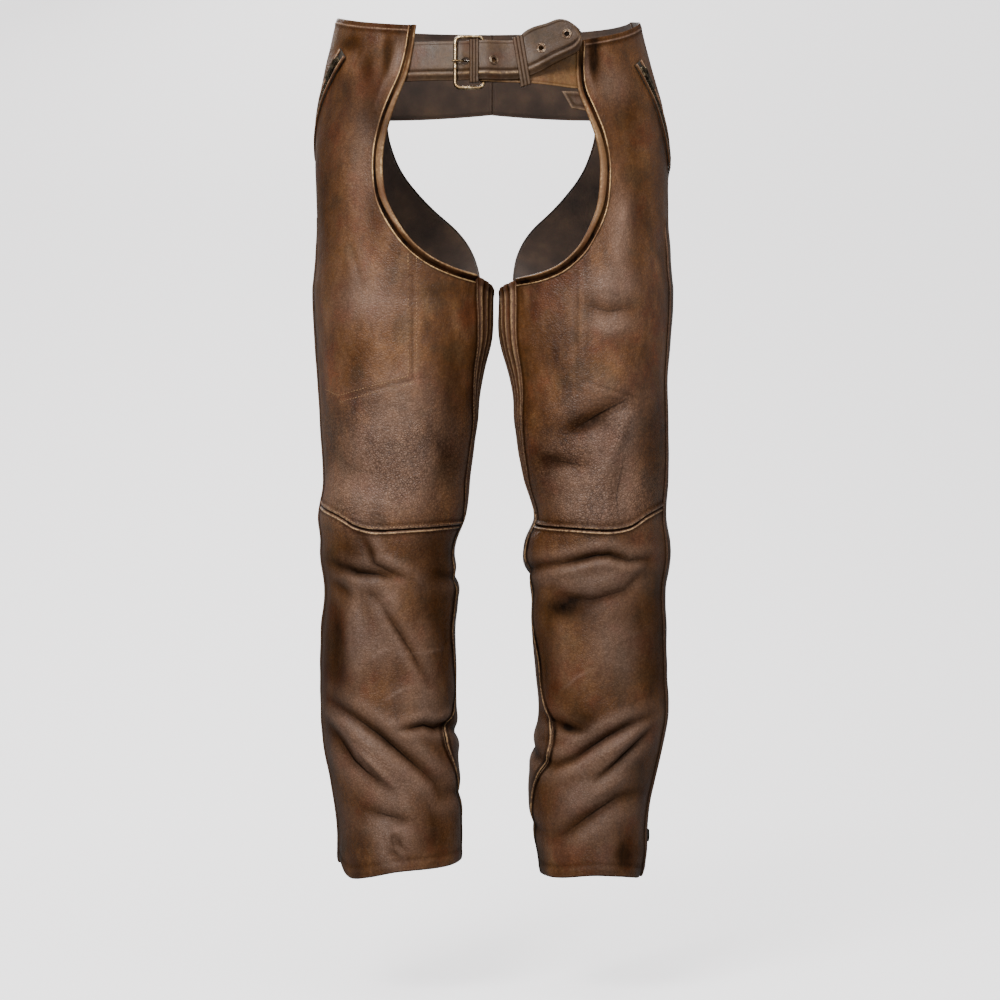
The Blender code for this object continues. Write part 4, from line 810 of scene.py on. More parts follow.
def cutEdge(name):
    # The cut edge of the hide, dyed and waxed: dark, close, with a few pale fibres
    made, tree, shader, place = newMaterial(name)
    fibres = addNode(tree, "TexNoise", {"Scale": 800, "Detail": 3, "Vector": place})
    fill(tree, shader, {
        "Base Color": addNode(tree, "ValToRGB", {
            "stops": ((0.35, "#2a180d"), (0.6, "#45301f"), (0.75, "#624830")), 0: fibres,
        }),
        "Roughness": 0.7,
        "Normal": addNode(tree, "Bump", {"Strength": 0.5, "Distance": 0.0003, "Height": fibres}),
    })
    return made


def thread(name, code):
    # Bonded nylon thread, twisted and waxed: a soft shine, with darker wax in the twist
    made, tree, shader, place = newMaterial(name)
    twist = addNode(tree, "TexNoise", {"Scale": 1100, "Detail": 2, "Vector": place})
    patchy = addNode(tree, "TexNoise", {"Scale": 60, "Detail": 3, "Vector": place})
    worn = addNode(tree, "ValToRGB", {"stops": ((0.35, "#6b4a2a"), (0.6, code)), 0: patchy})
    waxed = addNode(tree, "MapRange", {0: twist, 1: 0.4, 2: 0.6, 3: 0.7, 4: 0.0})
    fill(tree, shader, {
        "Base Color": addNode(tree, "Mix", multiplied | {0: waxed, 6: worn, 7: "#7d6a55"}, 2),
        "Roughness": 0.55,
        "Normal": addNode(tree, "Bump", {"Strength": 0.5, "Distance": 0.0002, "Height": twist}),
    })
    return made


def zipTape(name):
    # Woven polyester tape: matt, nearly black, with a fine herringbone across it
    made, tree, shader, place = newMaterial(name)
    weave = addNode(tree, "TexWave", {
        "wave_type": "BANDS", "bands_direction": "DIAGONAL", "Scale": 260, "Distortion": 0.4,
        "Vector": addNode(tree, "UVMap", {"uv_map": "run"}),
    }, "Color")
    dust = addNode(tree, "TexNoise", {"Scale": 120, "Detail": 3, "Vector": place})
    colour = addNode(tree, "ValToRGB", {"stops": ((0.2, "#15120f"), (0.8, "#2f2a24")), 0: weave})
    dusty = addNode(tree, "MapRange", {0: dust, 1: 0.45, 2: 0.75, 4: 0.5})
    fill(tree, shader, {
        "Base Color": addNode(tree, "Mix", mixed | {0: dusty, 6: colour, 7: "#4a4032"}, 2),
        "Roughness": 0.85,
        "Normal": addNode(tree, "Bump", {"Strength": 0.5, "Distance": 0.0003, "Height": weave}),
    })
    return made


def agedMetal(name, bright, mid, dark, rough):
    # Cast and plated metal, antiqued: dark in the lows, rubbed bright in soft patches
    made, tree, shader, place = newMaterial(name)
    tarnish = addNode(tree, "TexNoise", {"Scale": 240, "Detail": 5, "Roughness": 0.65, "Vector": place})
    scratches = addNode(tree, "TexNoise", {"Scale": 1400, "Detail": 2, "Vector": place})
    fill(tree, shader, {
        "Base Color": addNode(tree, "ValToRGB", {
            "stops": ((0.3, dark), (0.5, mid), (0.7, bright)), 0: tarnish,
        }),
        "Metallic": 1,
        "Roughness": addNode(tree, "MapRange", {
            0: tarnish, 1: 0.35, 2: 0.65, 3: rough + 0.15, 4: rough - 0.06,
        }),
        "Normal": addNode(tree, "Bump", {"Strength": 0.35, "Distance": 0.0002, "Height": scratches}),
    })
    return made


def enamel(name):
    # Black stove enamel on a pressed cap: glossy, with small dull rubs
    made, tree, shader, place = newMaterial(name)
    rubs = addNode(tree, "TexNoise", {"Scale": 420, "Detail": 4, "Vector": place})
    fill(tree, shader, {
        "Base Color": addNode(tree, "ValToRGB", {"stops": ((0.5, "#0d0d0d"), (0.72, "#2b2824")), 0: rubs}),
        "Roughness": addNode(tree, "MapRange", {0: rubs, 1: 0.4, 2: 0.7, 3: 0.22, 4: 0.5}),
    })
    return made


# Each leather's tones: darkest (painted shade and stains), dark wax, ground, middle, light, faded and painted
# highlight, rubbed bare
hideTones = ("#140a04", "#3d2310", "#5d3c21", "#704a2c", "#8b6444", "#9c8070", "#cfa678")
tanBeltTones = ("#1d130c", "#573c22", "#7a5833", "#8e6a41", "#a68054", "#aa8558", "#cc9c5c")
beltTones = ("#160d07", "#3e2f23", "#554131", "#604b3a", "#6e5745", "#775e49", "#a8875c")
tanTones = ("#0f0602", "#4e331d", "#6d482c", "#805939", "#96704c", "#b08a62", "#d6ae7a")

cowhide = agedLeather("waxed distressed cowhide", hideTones)
pleatHide = agedLeather("pleated cowhide", hideTones, pebble=2.0, rough=0.52)
beltHide = agedLeather("oiled strap leather", beltTones, pebble=1.5, rough=0.44, depth=0.6)
tanBelt = agedLeather("waxed belt leather", tanBeltTones, pebble=1.5, rough=0.44, depth=0.6)
tanHide = agedLeather("tan edge binding", tanTones, pebble=1.2, rough=0.55, depth=0.5)
fleshSide = suede("brushed flesh side")
hideEdge = cutEdge("dyed cut edge")
tanThread = thread("waxed tan thread", "#bd9468")
brownThread = thread("waxed brown thread", "#8f6d4c")
tape = zipTape("woven zip tape")
brass = agedMetal("antique brass", "#dac8a4", "#806748", "#2c2012", 0.27)
browned = agedMetal("browned eyelet", "#b8a48c", "#6b5646", "#33251a", 0.42)
zipBrass = agedMetal("dulled zip brass", "#978a70", "#544a3a", "#241d14", 0.36)
teethMetal = agedMetal("oxidised zip brass", "#6a6450", "#423e2f", "#1d1b14", 0.42)
blackEnamel = enamel("black enamelled snap")
print("materials ready")

# Leather panels

panels = {}


# A seam along an edge: its welt's height, width and place, how far the edge falls, the light line
# on the welt (wear and painted highlight), the painted shade beside it and in the gap, and how far in
# an edge that goes under its neighbour is pressed. Each seam below names what it changes.
usualSeam = {
    "ridge": 0.8, "at": 3.2, "wide": 2.2, "fall": 1.0, "worn": 0.8, "dark": 0.7, "line": 1.2, "thin": 1.0,
    "gap": 0, "sink": 0, "gapShadowAndDye": 1, "kept": 1,
}
sewnEdge = {"ridge": 0.7, "at": 2.4, "wide": 1.5, "line": 1.5, "thin": 0.8, "worn": 0.95}
lapped = {
    "ridge": 1.2, "at": 1.6, "wide": 2.2, "fall": 0.1, "worn": 0.6, "dark": 0.35, "line": 1.0, "thin": 0.9,
}
under = {
    "ridge": 0.9, "at": 3.6 + lap, "wide": 1.2, "fall": 0, "worn": 1, "dark": 0.35, "line": 3.5 + lap,
    "thin": 0.8, "gap": 2.0 + lap, "sink": 1.9,
}
tucked = sewnEdge | {"fall": 0, "at": 2.4 + lap, "line": 1.5 + lap, "gap": 0.6 + lap, "sink": 1.9}
waist = {
    "ridge": 0.5, "at": 6.0, "wide": 1.6, "fall": 0.6, "worn": 0.62, "dark": 0.45, "line": 6.0, "thin": 0.7,
    "gap": 5.0, "gapShadowAndDye": 0.4,
}
innerEdge = sewnEdge | {"at": 2.8, "line": 2.0, "thin": 1.4, "worn": 1.05}
hemmed = {"ridge": 0.5, "at": 7.0, "wide": 4.0, "fall": 0.6, "worn": 0.12, "dark": 0.2, "gap": 0.9}
bare = {"ridge": 0, "fall": 0, "worn": 0, "dark": 0}


def leatherPanel(name, side, angle, z, seams, look=cowhide, lift=0.0, wall=leather, extra=(0, 0, 0)):
    # a panel on the skin, with its creases, its patina, its painted shade and highlights, and the raised
    # welts along its edges
    base, normal = skinPoint(side, angle, z), skinNormal(side, angle, z)
    relief, sunk, ridgeHighlightAndScratch, cross, press = creaseRelief(side, base, normal)
    relief += slackness(base)
    coarse = 0.5 + 0.5 * smoothStep(0.5 + unevenness(base, 70, 31))
    coarse *= hill(base[..., 2], finish["kneeAt"], finish["kneeReach"], 4)
    shade, worn = patinaAndPaintedLight(side, base, normal)
    # creases get painted shade, and the rises beside them a painted highlight
    shade, worn = shade + 0.6 * sunk, np.clip(worn + 0.8 * ridgeHighlightAndScratch, 0, finish["mostLightened"])
    across, down = arcs(base, 1), arcs(base, 0)
    reach = {"left": across, "right": across[:, -1:] - across, "top": down, "bottom": down[-1:] - down}
    for edge, seam in seams.items():
        seam = usualSeam | seam
        away, kept = reach[edge], seam["kept"]
        ridge, light = hill(away, seam["at"], seam["wide"]), hill(away, seam["line"], seam["thin"])
        relief += kept * (seam["ridge"] * ridge - seam["fall"] * hill(away, 0, 1.1))
        relief -= kept * seam["sink"] * hill(away, 0, np.maximum(seam["gap"], 0.5), 4)
        worn += kept * seam["worn"] * light
        # painted shade beside the welt, and in the gap painted shadow with the dark dye of the cut edge
        shade += kept * seam["dark"] * hill(away, seam["at"] + seam["wide"] * 1.6, 2.6) * (1 - light)
        shade += kept * seam["gapShadowAndDye"] * (away < seam["gap"])
    relief, shade, worn = relief + extra[0], shade + extra[1], worn + extra[2]
    points = base + normal * (relief + lift)[..., None]
    piece = shell(name, points, normal, (look, fleshSide, hideEdge), wall, np.clip(shade, 0, 1),
                  np.clip(worn, 0, 1), marks=(("cross", cross), ("press", press), ("coarse", coarse)))
    panels[name] = {"piece": piece, "points": points, "normals": gridNormals(points, normal)}
    belongs(piece, name)


def frontPanel(name, side, firstRow, lastRow, shares, columns, seams):
    row = (firstRow + (lastRow - firstRow) * shares)[:, None]
    endAngle, endZ = frontEdge(side, row)
    endAngle = np.where(row >= crotchRow, beside(side, endAngle, endZ, seamGap / 2), endAngle)
    start = beside(side, frontEdgeAngle + legTurn(side, row), outerHeight(row), -seamGap / 2)
    angle = start + (endAngle - start) * columns[None, :]
    z = frontHeight(side, row, angle)
    z = z + np.where(row == kneeRow, lap - seamGap / 2 if firstRow == kneeRow else seamGap / 2, 0)
    right = seams["right"] | {"kept": smoothStep((row - crotchRow) / 0.4)}
    leatherPanel(name, side, angle, z, seams | {"right": right})


for side in sideSign:
    frontPanel("front_thigh_" + side, side, 0, kneeRow, stations(535, 0.8, 2.9, 9),
               stations(290, 0.8, 2.9, 7), {"left": bare, "right": innerEdge, "top": waist, "bottom": lapped})
    frontPanel("front_shin_" + side, side, kneeRow, hemRow, stations(395, 0.8, 2.0, 10),
               stations(255, 0.8, 2.0, 7), {"left": bare, "right": sewnEdge, "top": under, "bottom": hemmed})
print("front panels done")

for side in sideSign:
    shares, columns = stations(835, 1.2, 4.2, 9), stations(280, 1.0, 3.8, 7)
    row = (yokeRow + (hemRow - yokeRow) * shares)[:, None]
    endAngle, endZ = backEdge(side, row)
    start = backEdgeAngle + legTurn(side, row)
    angle = start + (endAngle - start) * columns[None, :]
    z = outerHeight(row) * (1 - columns) + endZ * columns + hemRise(side, row) * (1 - columns) ** 2
    z = underYoke(z, row, angle, lap)
    # below the knee the inner edge goes on under the front panel
    shift = lap * smoothStep((row - kneeRow) / 0.8)
    ends = seamGap / 2 * (1.0 * (columns == 0) - (columns == 1))
    angle = beside(side, angle, z, ends + shift * columns**8)
    inside = sewnEdge | {
        "at": 2.4 + shift, "line": 1.5 + shift, "fall": 1 - shift / lap, "sink": 1.9 * shift / lap,
        "gap": 0.6 + shift, "gapShadowAndDye": shift / lap,
    }
    leatherPanel("back_leg_" + side, side, angle, z,
                 {"left": sewnEdge, "right": inside, "top": tucked, "bottom": hemmed})
    panels["back_leg_" + side]["shift"] = shift[:, 0]

    shares, columns = stations(105, 1.0, 3.0, 7), stations(185, 1.0, 3.2, 7)
    row = (yokeRow * shares)[:, None]
    start = frontEdgeAngle + legTurn(side, row)
    drop = np.zeros((len(shares), len(columns)))
    for _ in range(3):
        z = outerHeight(row) + drop
        angle = start + (angleAt(side, 0.0, z, 180.0) - start) * columns[None, :]
        drop = row / yokeRow * (yokeBottom(angle) - outerHeight(yokeRow)) + topRise(row, angle)
    angle = angle - lap / 1.9 * (1 - columns[None, :]) ** 8
    leatherPanel("back_yoke_" + side, side, angle, z,
                 {"left": tucked, "right": sewnEdge, "top": waist, "bottom": lapped})
print("back panels done")

pleats = {"count": 6, "depth": 3.2, "points": 11, "lastRow": 19.55, "flatRow": 19.6, "wall": 0.9}
for side in sideSign:
    row = (crotchRow + (pleats["lastRow"] - crotchRow) * stations(285, 1.2, 3.4, 7))[:, None]
    columns = np.linspace(0, 1, pleats["count"] * pleats["points"] + 1)
    frontAngle, frontZ = frontEdge(side, row)
    backAngle, backZ = backEdge(side, row)
    start = beside(side, frontAngle, frontZ, 0.6 * lap)
    end = beside(side, backAngle - 360, backZ, -0.6 * lap)
    share = columns * pleats["count"] % 1
    fade = 1 - np.clip((row - crotchRow) / (pleats["flatRow"] - crotchRow), 0, 1) ** 1.6
    valley = np.abs(2 * share - 1) ** 2.4
    opened = 0.4 + 0.6 * smoothStep((row - crotchRow) / 0.5)
    folds = (-pleats["depth"] * valley * opened + 0.6) * fade
    pleatHighlight = hill(share, 0.5, 0.19) * (0.4 + 0.6 * fade) * (1.6 * opened - 0.6)
    topSeam = {"ridge": 0.6, "at": 3, "wide": 3, "fall": 0.2, "worn": 0.1, "dark": 0.3}
    angle, z = start + (end - start) * columns, frontZ + (backZ - frontZ) * columns
    # the pleats' valleys get painted shade and their crests a painted highlight
    leatherPanel("inner_thigh_" + side, side, angle, z,
                 {"top": topSeam, "bottom": bare, "left": bare, "right": bare}, look=pleatHide,
                 wall=pleats["wall"], extra=(folds, 0.95 * valley**2 * fade, pleatHighlight))

    row = (flapRow + (hemRow - flapRow) * stations(735, 1.2, 4.0, 7))[:, None]
    columns = stations(60, 0.8, 2.6, 8)
    angle = frontEdgeAngle + legTurn(side, row) + (flapEdgeAngle - frontEdgeAngle) * columns[None, :]
    freeEdge = {
        "ridge": 0.4, "at": 2.6, "wide": 2, "fall": 0.9, "worn": 0.1 if side == "r" else 0.4, "dark": 0.5,
    }
    leatherPanel("zip_flap_" + side, side, angle, frontHeight(side, row, angle),
                 {"left": {"ridge": 0.4, "at": 3, "fall": 0.5, "worn": 0.3}, "right": freeEdge,
                  "top": {"ridge": 0, "fall": 0.3, "worn": 0, "dark": 0.2}, "bottom": hemmed},
                 lift=0.25 + 1.5 * smoothStep((row - flapRow) / 1.6))
print("pleats and flaps done")

# Binding of the front opening

# Section of the binding: how far into the panel in shares of the reach, how high above it, and how
# dark (painted shade in its channel) and how light it is drawn. The reach and the width of the light
# band change along the opening.
binding = {
    "section": (
        (1.16, 0.7, 0, 0.3), (1.1, 0.95, 0, 0.55), (1.05, 1.4, 0, 0.9), (1, 1.6, 0, 1), (0.95, 1.4, 0, 0.9),
        (0.9, 0.95, 0.9, 0), (0.84, 0.6, 1, 0), (0.76, 0.5, 1, 0), (0.66, 0.6, 1, 0), (0.56, 1.1, 1, 0),
        (0.46, 1.7, 1, 0), (0.36, 2.2, 0.5, 0), (0.24, 2.5, 0.25, 0), (0.12, 2.6, 0, 0.2), (0, 2.5, 0, 0.5),
        (-0.1, 2.1, 0, 0.95), (-0.2, 1.3, 0, 0.9), (-0.24, 0.3, 0.1, 0.4), (-0.23, -0.8, 0.3, 0.2),
        (-0.17, -1.8, 0.3, 0), (-0.06, -2.4, 0.2, 0), (0.2, -2.6, 0, 0), (0.55, -2.6, 0, 0),
    ),
    # share of the way along: reach, and how much of the face inside the edge is light
    "along": (
        (0, 6.4, 0), (0.1, 6.6, 0), (0.2, 7.6, 0.15), (0.3, 8.8, 0.6), (0.45, 9.2, 0.85), (0.58, 8.8, 0.6),
        (0.68, 8.2, 0.25), (0.8, 7.4, 0.05), (1, 6.6, 0),
    ),
    "wall": 0.45, "step": 1.7, "stitchAt": 1,
}


def facesOf(obj):
    bpy.context.view_layer.update()
    return BVHTree.FromObject(obj, bpy.context.evaluated_depsgraph_get())


def onFaces(faces, point, way, reach=15):
    # where a line along the way through this point first meets the faces from outside
    found, normal, _, _ = faces.ray_cast(Vector((point + way * reach) * mm), Vector(-way))
    return (np.array(found) / mm, np.array(normal)) if found else (point, way)


for side in sideSign:
    # the panel's edge along the opening, evenly spaced, with the ways out of the skin
    edge = frontEdge(side, np.linspace(0, crotchRow, 400))
    line, out = evenly(skinPoint(side, *edge), skinNormal(side, *edge), binding["step"], 0, 6.0)
    faces = facesOf(panels["front_thigh_" + side]["piece"])
    across = unit(np.cross(out, np.gradient(line, axis=0)) * sideSign[side])
    depths = np.array((2.5, 4.0, 6.5, 9.5, 11.2))
    heights = []
    for into in depths:
        met = [onFaces(faces, here + way * into, up)[0] for here, way, up in zip(line, across, out)]
        heights.append([(hit - here - way * into).dot(up)
                        for hit, here, way, up in zip(met, line, across, out)])
    heights = np.maximum([smoothed(high) for high in heights], -1.0)
    section = np.array(binding["section"])
    inwards, raised = section[:, 0], section[:, 1]
    share = np.linspace(0, 1, len(line))[:, None]
    reach, band = (through(binding["along"], column, share[:, 0]) for column in (1, 2))
    points = np.zeros((len(line), len(section), 3))
    for column, (into, high, _, _) in enumerate(section):
        away = into * reach
        ground = np.array([np.interp(away[i], depths, heights[:, i]) for i in range(len(line))])
        ground *= 1 if into > 0 else 0.6
        points[:, column] = line + across * away[:, None] + out * (high + ground)[:, None]
    points += out[:, None] * (0.12 * unevenness(line, 26, 11 + sideSign[side]))[:, None, None]
    ways = np.stack([out * (1 if high > 0 else -1) for high in raised], 1)
    wear = 0.8 + 0.3 * unevenness(line, 40, 21 + sideSign[side])
    # where the edge turns to the front, the light band widens over the dark channel
    band = band[:, None]
    inBand = smoothStep((0.8 * band - inwards) / 0.12) * (inwards < 0.8) * (raised > 0)
    shade = np.clip(section[:, 2] * (1 - inBand) + 0.16 * inBand, 0, 1)
    worn = np.maximum(section[:, 3] * (0.55 + 0.45 * (inwards > 0.8) + 0.3 * band), 0.42 * inBand)
    rolled = (inwards == 0.46) * (raised > 0)
    worn = np.maximum(worn, 0.9 * rolled * smoothStep((0.24 - share) / 0.1))
    worn *= 0.15 + 0.85 * smoothStep((share * 420 - 3) / 10)
    onFace = (inwards > -0.05) & (inwards < 0.5) & (raised > 0)
    toEnds = np.maximum(smoothStep((0.3 - share) / 0.25), smoothStep((share - 0.6) / 0.16))
    shade = np.maximum(shade, 0.88 * onFace * toEnds * (worn < 0.5))
    piece = shell("edge_binding_" + side, points, ways, (tanHide, tanHide, hideEdge), binding["wall"], shade,
                  np.clip(worn * wear[:, None], 0, 1))
    belongs(piece, "edge_binding_" + side)
    stitched = int(np.argmin(np.abs(inwards - binding["stitchAt"])))
    panels["edge_binding_" + side] = {"ridge": points[:, stitched], "out": out}
print("bindings done")

# Belt

belt = {
    "height": -19, "width": 43, "base": -4.3, "lean": 0.125, "wall": 2.4, "round": 18,
    # x and z of the middle, layer of the inner face, rise in degrees
    "freeRun": (
        (-124, -17.6, -1.6, 0), (-106, -17.6, -1.2, 0), (-88, -17.7, -1.0, 0), (-74, -17.8, -0.2, 0),
        (-60, -17.9, 0, 0), (-46, -18, 0, 0), (-37, -18, 0, 0), (-31, -18, 0.9, 0), (-25.5, -18.1, 3.3, 0),
        (-21.5, -18.1, 5.5, 0), (-17, -18.2, 7.2, 0), (-12, -18.2, 8.7, 0), (-7.6, -18.2, 9.2, 0),
        (-3.8, -18.3, 8.9, 0), (8.2, -18.3, 4.8, 0), (14, -18.1, 4.0, 0), (22, -17.8, 3.8, 2),
        (30, -16.6, 4.0, 9), (38, -13.2, 5.2, 19), (46.2, -9.0, 7.8, 29), (58.8, -1.8, 13.2, 29),
        (66, 1.8, 16.6, 30), (73.6, 5.8, 20.0, 30), (80.0, 9.3, 22.6, 30), (86.6, 12.7, 25.2, 30),
    ),
    # across the free strap, -1 at its lower edge: height of the face, darkness (painted shadow in the grooves
    # and under the rolled lower edge), wear (with painted highlight on the roll)
    "face": (
        (-1, -0.9, 0.6, 0.2), (-0.97, -0.3, 0.4, 0.3), (-0.9, 0, 0.6, 0), (-0.8, -0.1, 0.7, 0),
        (-0.74, 0.2, 0.4, 0.1), (-0.68, 0.8, 0, 0.8), (-0.63, 0.9, 0, 0.7), (-0.58, 0.7, 0.1, 0.1),
        (-0.5, 0.05, 0.8, 0), (-0.44, -0.25, 0.6, 0), (-0.36, 0, 0.15, 0.25), (-0.2, 0.15, 0, 0.1),
        (0.2, 0.25, 0, 0), (0.6, 0.2, 0, 0), (0.78, 0.05, 0, 0), (0.84, -0.15, 0.35, 0),
        (0.9, 0.05, 0, 0.15), (0.96, -0.2, 0, 0.45), (1, -0.9, 0.2, 0.4),
    ),
    "eyelets": ((2.2, -18.4), (52.5, -5.2), (79.7, 9.2)),
    "prongHole": (-27.9, -18.8, 5.2, 3.9),
}


def beltBase(x):
    return skinPoint("l", angleAt("l", x, belt["height"]), belt["height"])


def beltPoint(x, z, layer):
    # points of the belt, a layer height out from where its innermost layer lies
    x, z, layer = np.broadcast_arrays(np.asarray(x, float), np.asarray(z, float), np.asarray(layer, float))
    along = unit(beltBase(x + 1) - beltBase(x - 1))
    out = np.stack([along[..., 1], -along[..., 0], np.zeros_like(x)], -1)
    lift = np.array((0, belt["lean"], 1))
    return beltBase(x) + out * (belt["base"] + layer)[..., None] + lift * (z - belt["height"])[..., None]


def applied(obj):
    # the mesh of an object with its modifiers or its curve worked out
    bpy.context.view_layer.update()
    return bpy.data.meshes.new_from_object(obj.evaluated_get(bpy.context.evaluated_depsgraph_get()))


def cutHoles(obj, cutters):
    # holes straight through a strap, cut and kept in its mesh
    for cutter in cutters:
        change = obj.modifiers.new("hole", "BOOLEAN")
        change.operation, change.object, change.solver = "DIFFERENCE", cutter, "MANIFOLD"
    mesh = applied(obj)
    obj.modifiers.clear()
    obj.data = mesh
    for cutter in cutters:
        bpy.data.objects.remove(cutter)


def punch(centre, way, halfLength, halfWidth):
    bm = bmesh.new()
    bmesh.ops.create_cone(bm, cap_ends=True, segments=32, radius1=1, radius2=1, depth=1)
    bmesh.ops.scale(bm, vec=(halfLength, halfWidth, 14), verts=bm.verts)
    along = Vector((1, 0, 0)) if abs(way[0]) < 0.9 else Vector((0, 0, 1))
    bmesh.ops.transform(bm, matrix=placement(Vector(centre), along, Vector(way).normalized()), verts=bm.verts)
    bmesh.ops.scale(bm, vec=(mm, mm, mm), verts=bm.verts)
    mesh = meshOf(bm, "punch")
    # the walls and floor of each hole get full painted shade
    dark = mesh.attributes.new("shade", "FLOAT", "POINT")
    dark.data.foreach_set("value", np.ones(len(mesh.vertices), np.float32))
    obj = addObject("punch", mesh)
    obj.hide_render = True
    return obj


def freeStrap():
    run = belt["freeRun"]
    x = np.linspace(run[0][0], run[-1][0], 190)
    rise = smoothed(np.radians(np.interp(x, [r[0] for r in run], [r[3] for r in run])))
    up = unit(np.stack([-np.sin(rise), belt["lean"] * np.cos(rise), np.cos(rise)], -1))
    middle = beltPoint(x, through(run, 1, x), through(run, 2, x))
    out = unit(np.cross(np.gradient(middle, axis=0), up))[:, None]
    left = arcs(middle, 0)[-1] - arcs(middle, 0)
    past = np.clip(1 - left / belt["round"], 0, 1)[:, None]
    reach = belt["width"] / 2 * np.maximum((1 - past**2) ** 0.5, 0.04)
    v = np.unique(np.concatenate([[f[0] for f in belt["face"]], np.linspace(-1, 1, 41)]))
    high, dark, light = (np.interp(v, [f[0] for f in belt["face"]], [f[k] for f in belt["face"]])
                         for k in (1, 2, 3))
    flat = smoothStep(left / 10)[:, None]
    high = high * (0.35 + 0.65 * flat)
    fuller = 1 + 0.17 * hill(x, 50, 13)[:, None] * (v > 0)
    points = middle[:, None] + up[:, None] * (reach * v * fuller)[..., None]
    points = points + out * (belt["wall"] + high - 0.9 * past**6)[..., None]
    points = points + out * (0.18 * unevenness(points, 60, 5))[..., None]
    tip = 0.22 * smoothStep((x[:, None] - 40) / 14)
    rubbed = 0.35 * hill(x, 20, 30)[:, None] * hill(v, -0.62, 0.1)
    shade = np.clip(dark * flat + 0.5 * hill(left, 0, 1.2)[:, None] + tip, 0, 1)
    worn = np.clip(light * (0.6 + 0.3 * unevenness(points, 50, 9)) + rubbed, 0, 1)
    piece = shell("strap_holes", points, np.broadcast_to(out, points.shape), (beltHide, fleshSide, hideEdge),
                  2.1, shade, worn)
    faces, places = facesOf(piece), []
    for atX, atZ, *size in [(*spot, 2.75, 2.75) for spot in belt["eyelets"]] + [belt["prongHole"]]:
        places.append((*onFaces(faces, np.array((atX, -110.0, atZ)), np.array((0.0, -1.0, 0.0)), 80), *size))
    # the last hole stops at the lining of the tip
    cutHoles(piece, [punch(hit + normal * (5.6 if index == len(places) - 2 else 0), normal, *size)
                     for index, (hit, normal, *size) in enumerate(places)])
    panels["strap_holes"] = {"points": points, "normals": gridNormals(points, out), "left": left}
    return belongs(piece, "strap_holes"), places, facesOf(piece)


strap, strapHoles, strapFaces = freeStrap()

buckle = {
    "barX": -8.6, "barLayer": 3.95, "foldRadius": 3.75, "returnEnd": 16, "width": 42, "wall": 2.0,
    "run": (
        (-4.5, -20.2, 7.5), (1, -20.3, 4.9), (6, -20.4, 3.3), (12, -20.5, 2.6), (26, -20.8, 2.5),
        (45, -21.4, 2.3), (65, -23, 1.8), (84, -24.8, 0.9), (104, -26, 0.2), (126, -27, -0.2),
    ),
    "frontBar": (-38.6, 4.8), "top": 7.4, "bottom": -47.7, "corner": 6.0, "wire": 2.1,
    "prongZ": -18.8, "prongWire": 1.15, "hook": 3.45,
    "prong": (
        (-3.4, 0.6), (-5.4, -0.9), (-9, -2.2), (-13, -2.8), (-16.6, -2.6), (-19, -1.4), (-21.2, 0.9),
        (-23.2, 2.9), (-26.4, 4.2), (-30, 4.4), (-33.4, 4.2),
    ),
}


def smoothRun(points, step):
    # the same route in even, close steps on a smooth curve
    points = np.array(points, float)
    travelled = arcs(points, 0)
    at = np.linspace(0, travelled[-1], max(2, int(travelled[-1] / step)))
    table = np.column_stack([travelled, points])
    return np.stack([through(table, k + 1, at) for k in range(points.shape[1])], -1)


def buckleStrap():
    start, back = buckle["run"][0][1], buckle["barLayer"] - buckle["foldRadius"]
    route = [(buckle["returnEnd"], start, back), (6, start, back)]
    for turn in np.radians(-90 - 15 * np.arange(13)):
        route.append((buckle["barX"] + buckle["foldRadius"] * cos(turn), start,
                      buckle["barLayer"] + buckle["foldRadius"] * sin(turn)))
    route = smoothRun(route + list(buckle["run"]), 1.3)
    v = np.array((-1, -0.97, -0.93, -0.86, -0.8, -0.7, -0.4, 0, 0.4, 0.7, 0.8, 0.86, 0.93, 0.97, 1))
    high = np.interp(np.abs(v), (0, 0.8, 0.87, 0.93, 0.97, 1), (0.1, 0, -0.15, 0.05, -0.1, -0.5))
    points = beltPoint(route[:, None, 0], route[:, None, 1] + buckle["width"] / 2 * v, route[:, None, 2])
    out = unit(np.cross(np.gradient(points, axis=0), np.gradient(points, axis=1)))
    points = points + out * (buckle["wall"] / 2 + high)[:, None]
    piece = shell("strap_buckle", points, out, (tanBelt, fleshSide, hideEdge), buckle["wall"] - 0.2,
                  0.3 * hill(np.abs(v), 0.86, 0.04), 0.3 * hill(np.abs(v), 0.96, 0.03))
    slot = punch(beltPoint(buckle["barX"] + 0.5, buckle["prongZ"], buckle["barLayer"]), (0, -1, 0), 7.2, 3.2)
    cutHoles(piece, [slot])
    return belongs(piece, "strap_buckle"), points


def wirePiece(name, points, radius, look, cyclic=False, sides=5, taper=None):
    # a round wire through the points as a mesh
    curve = bpy.data.curves.new(name, "CURVE")
    curve.dimensions = "3D"
    curve.bevel_depth, curve.bevel_resolution, curve.use_fill_caps = radius * mm, sides, not cyclic
    spline = curve.splines.new("POLY")
    spline.points.add(len(points) - 1)
    for index, (knot, point) in enumerate(zip(spline.points, points)):
        knot.co = (*(np.array(point) * mm), 1)
        knot.radius = taper[index] if taper is not None else 1
    spline.use_cyclic_u = cyclic
    made = addObject(name, curve)
    mesh = applied(made)
    bpy.data.objects.remove(made)
    bm = bmesh.new()
    bm.from_mesh(mesh)
    bmesh.ops.remove_doubles(bm, verts=bm.verts, dist=0.01 * mm)
    bmesh.ops.recalc_face_normals(bm, faces=bm.faces)
    bm.to_mesh(mesh)
    bm.free()
    mesh.materials.clear()
    belongs(addObject(name, mesh, (look,)), name)


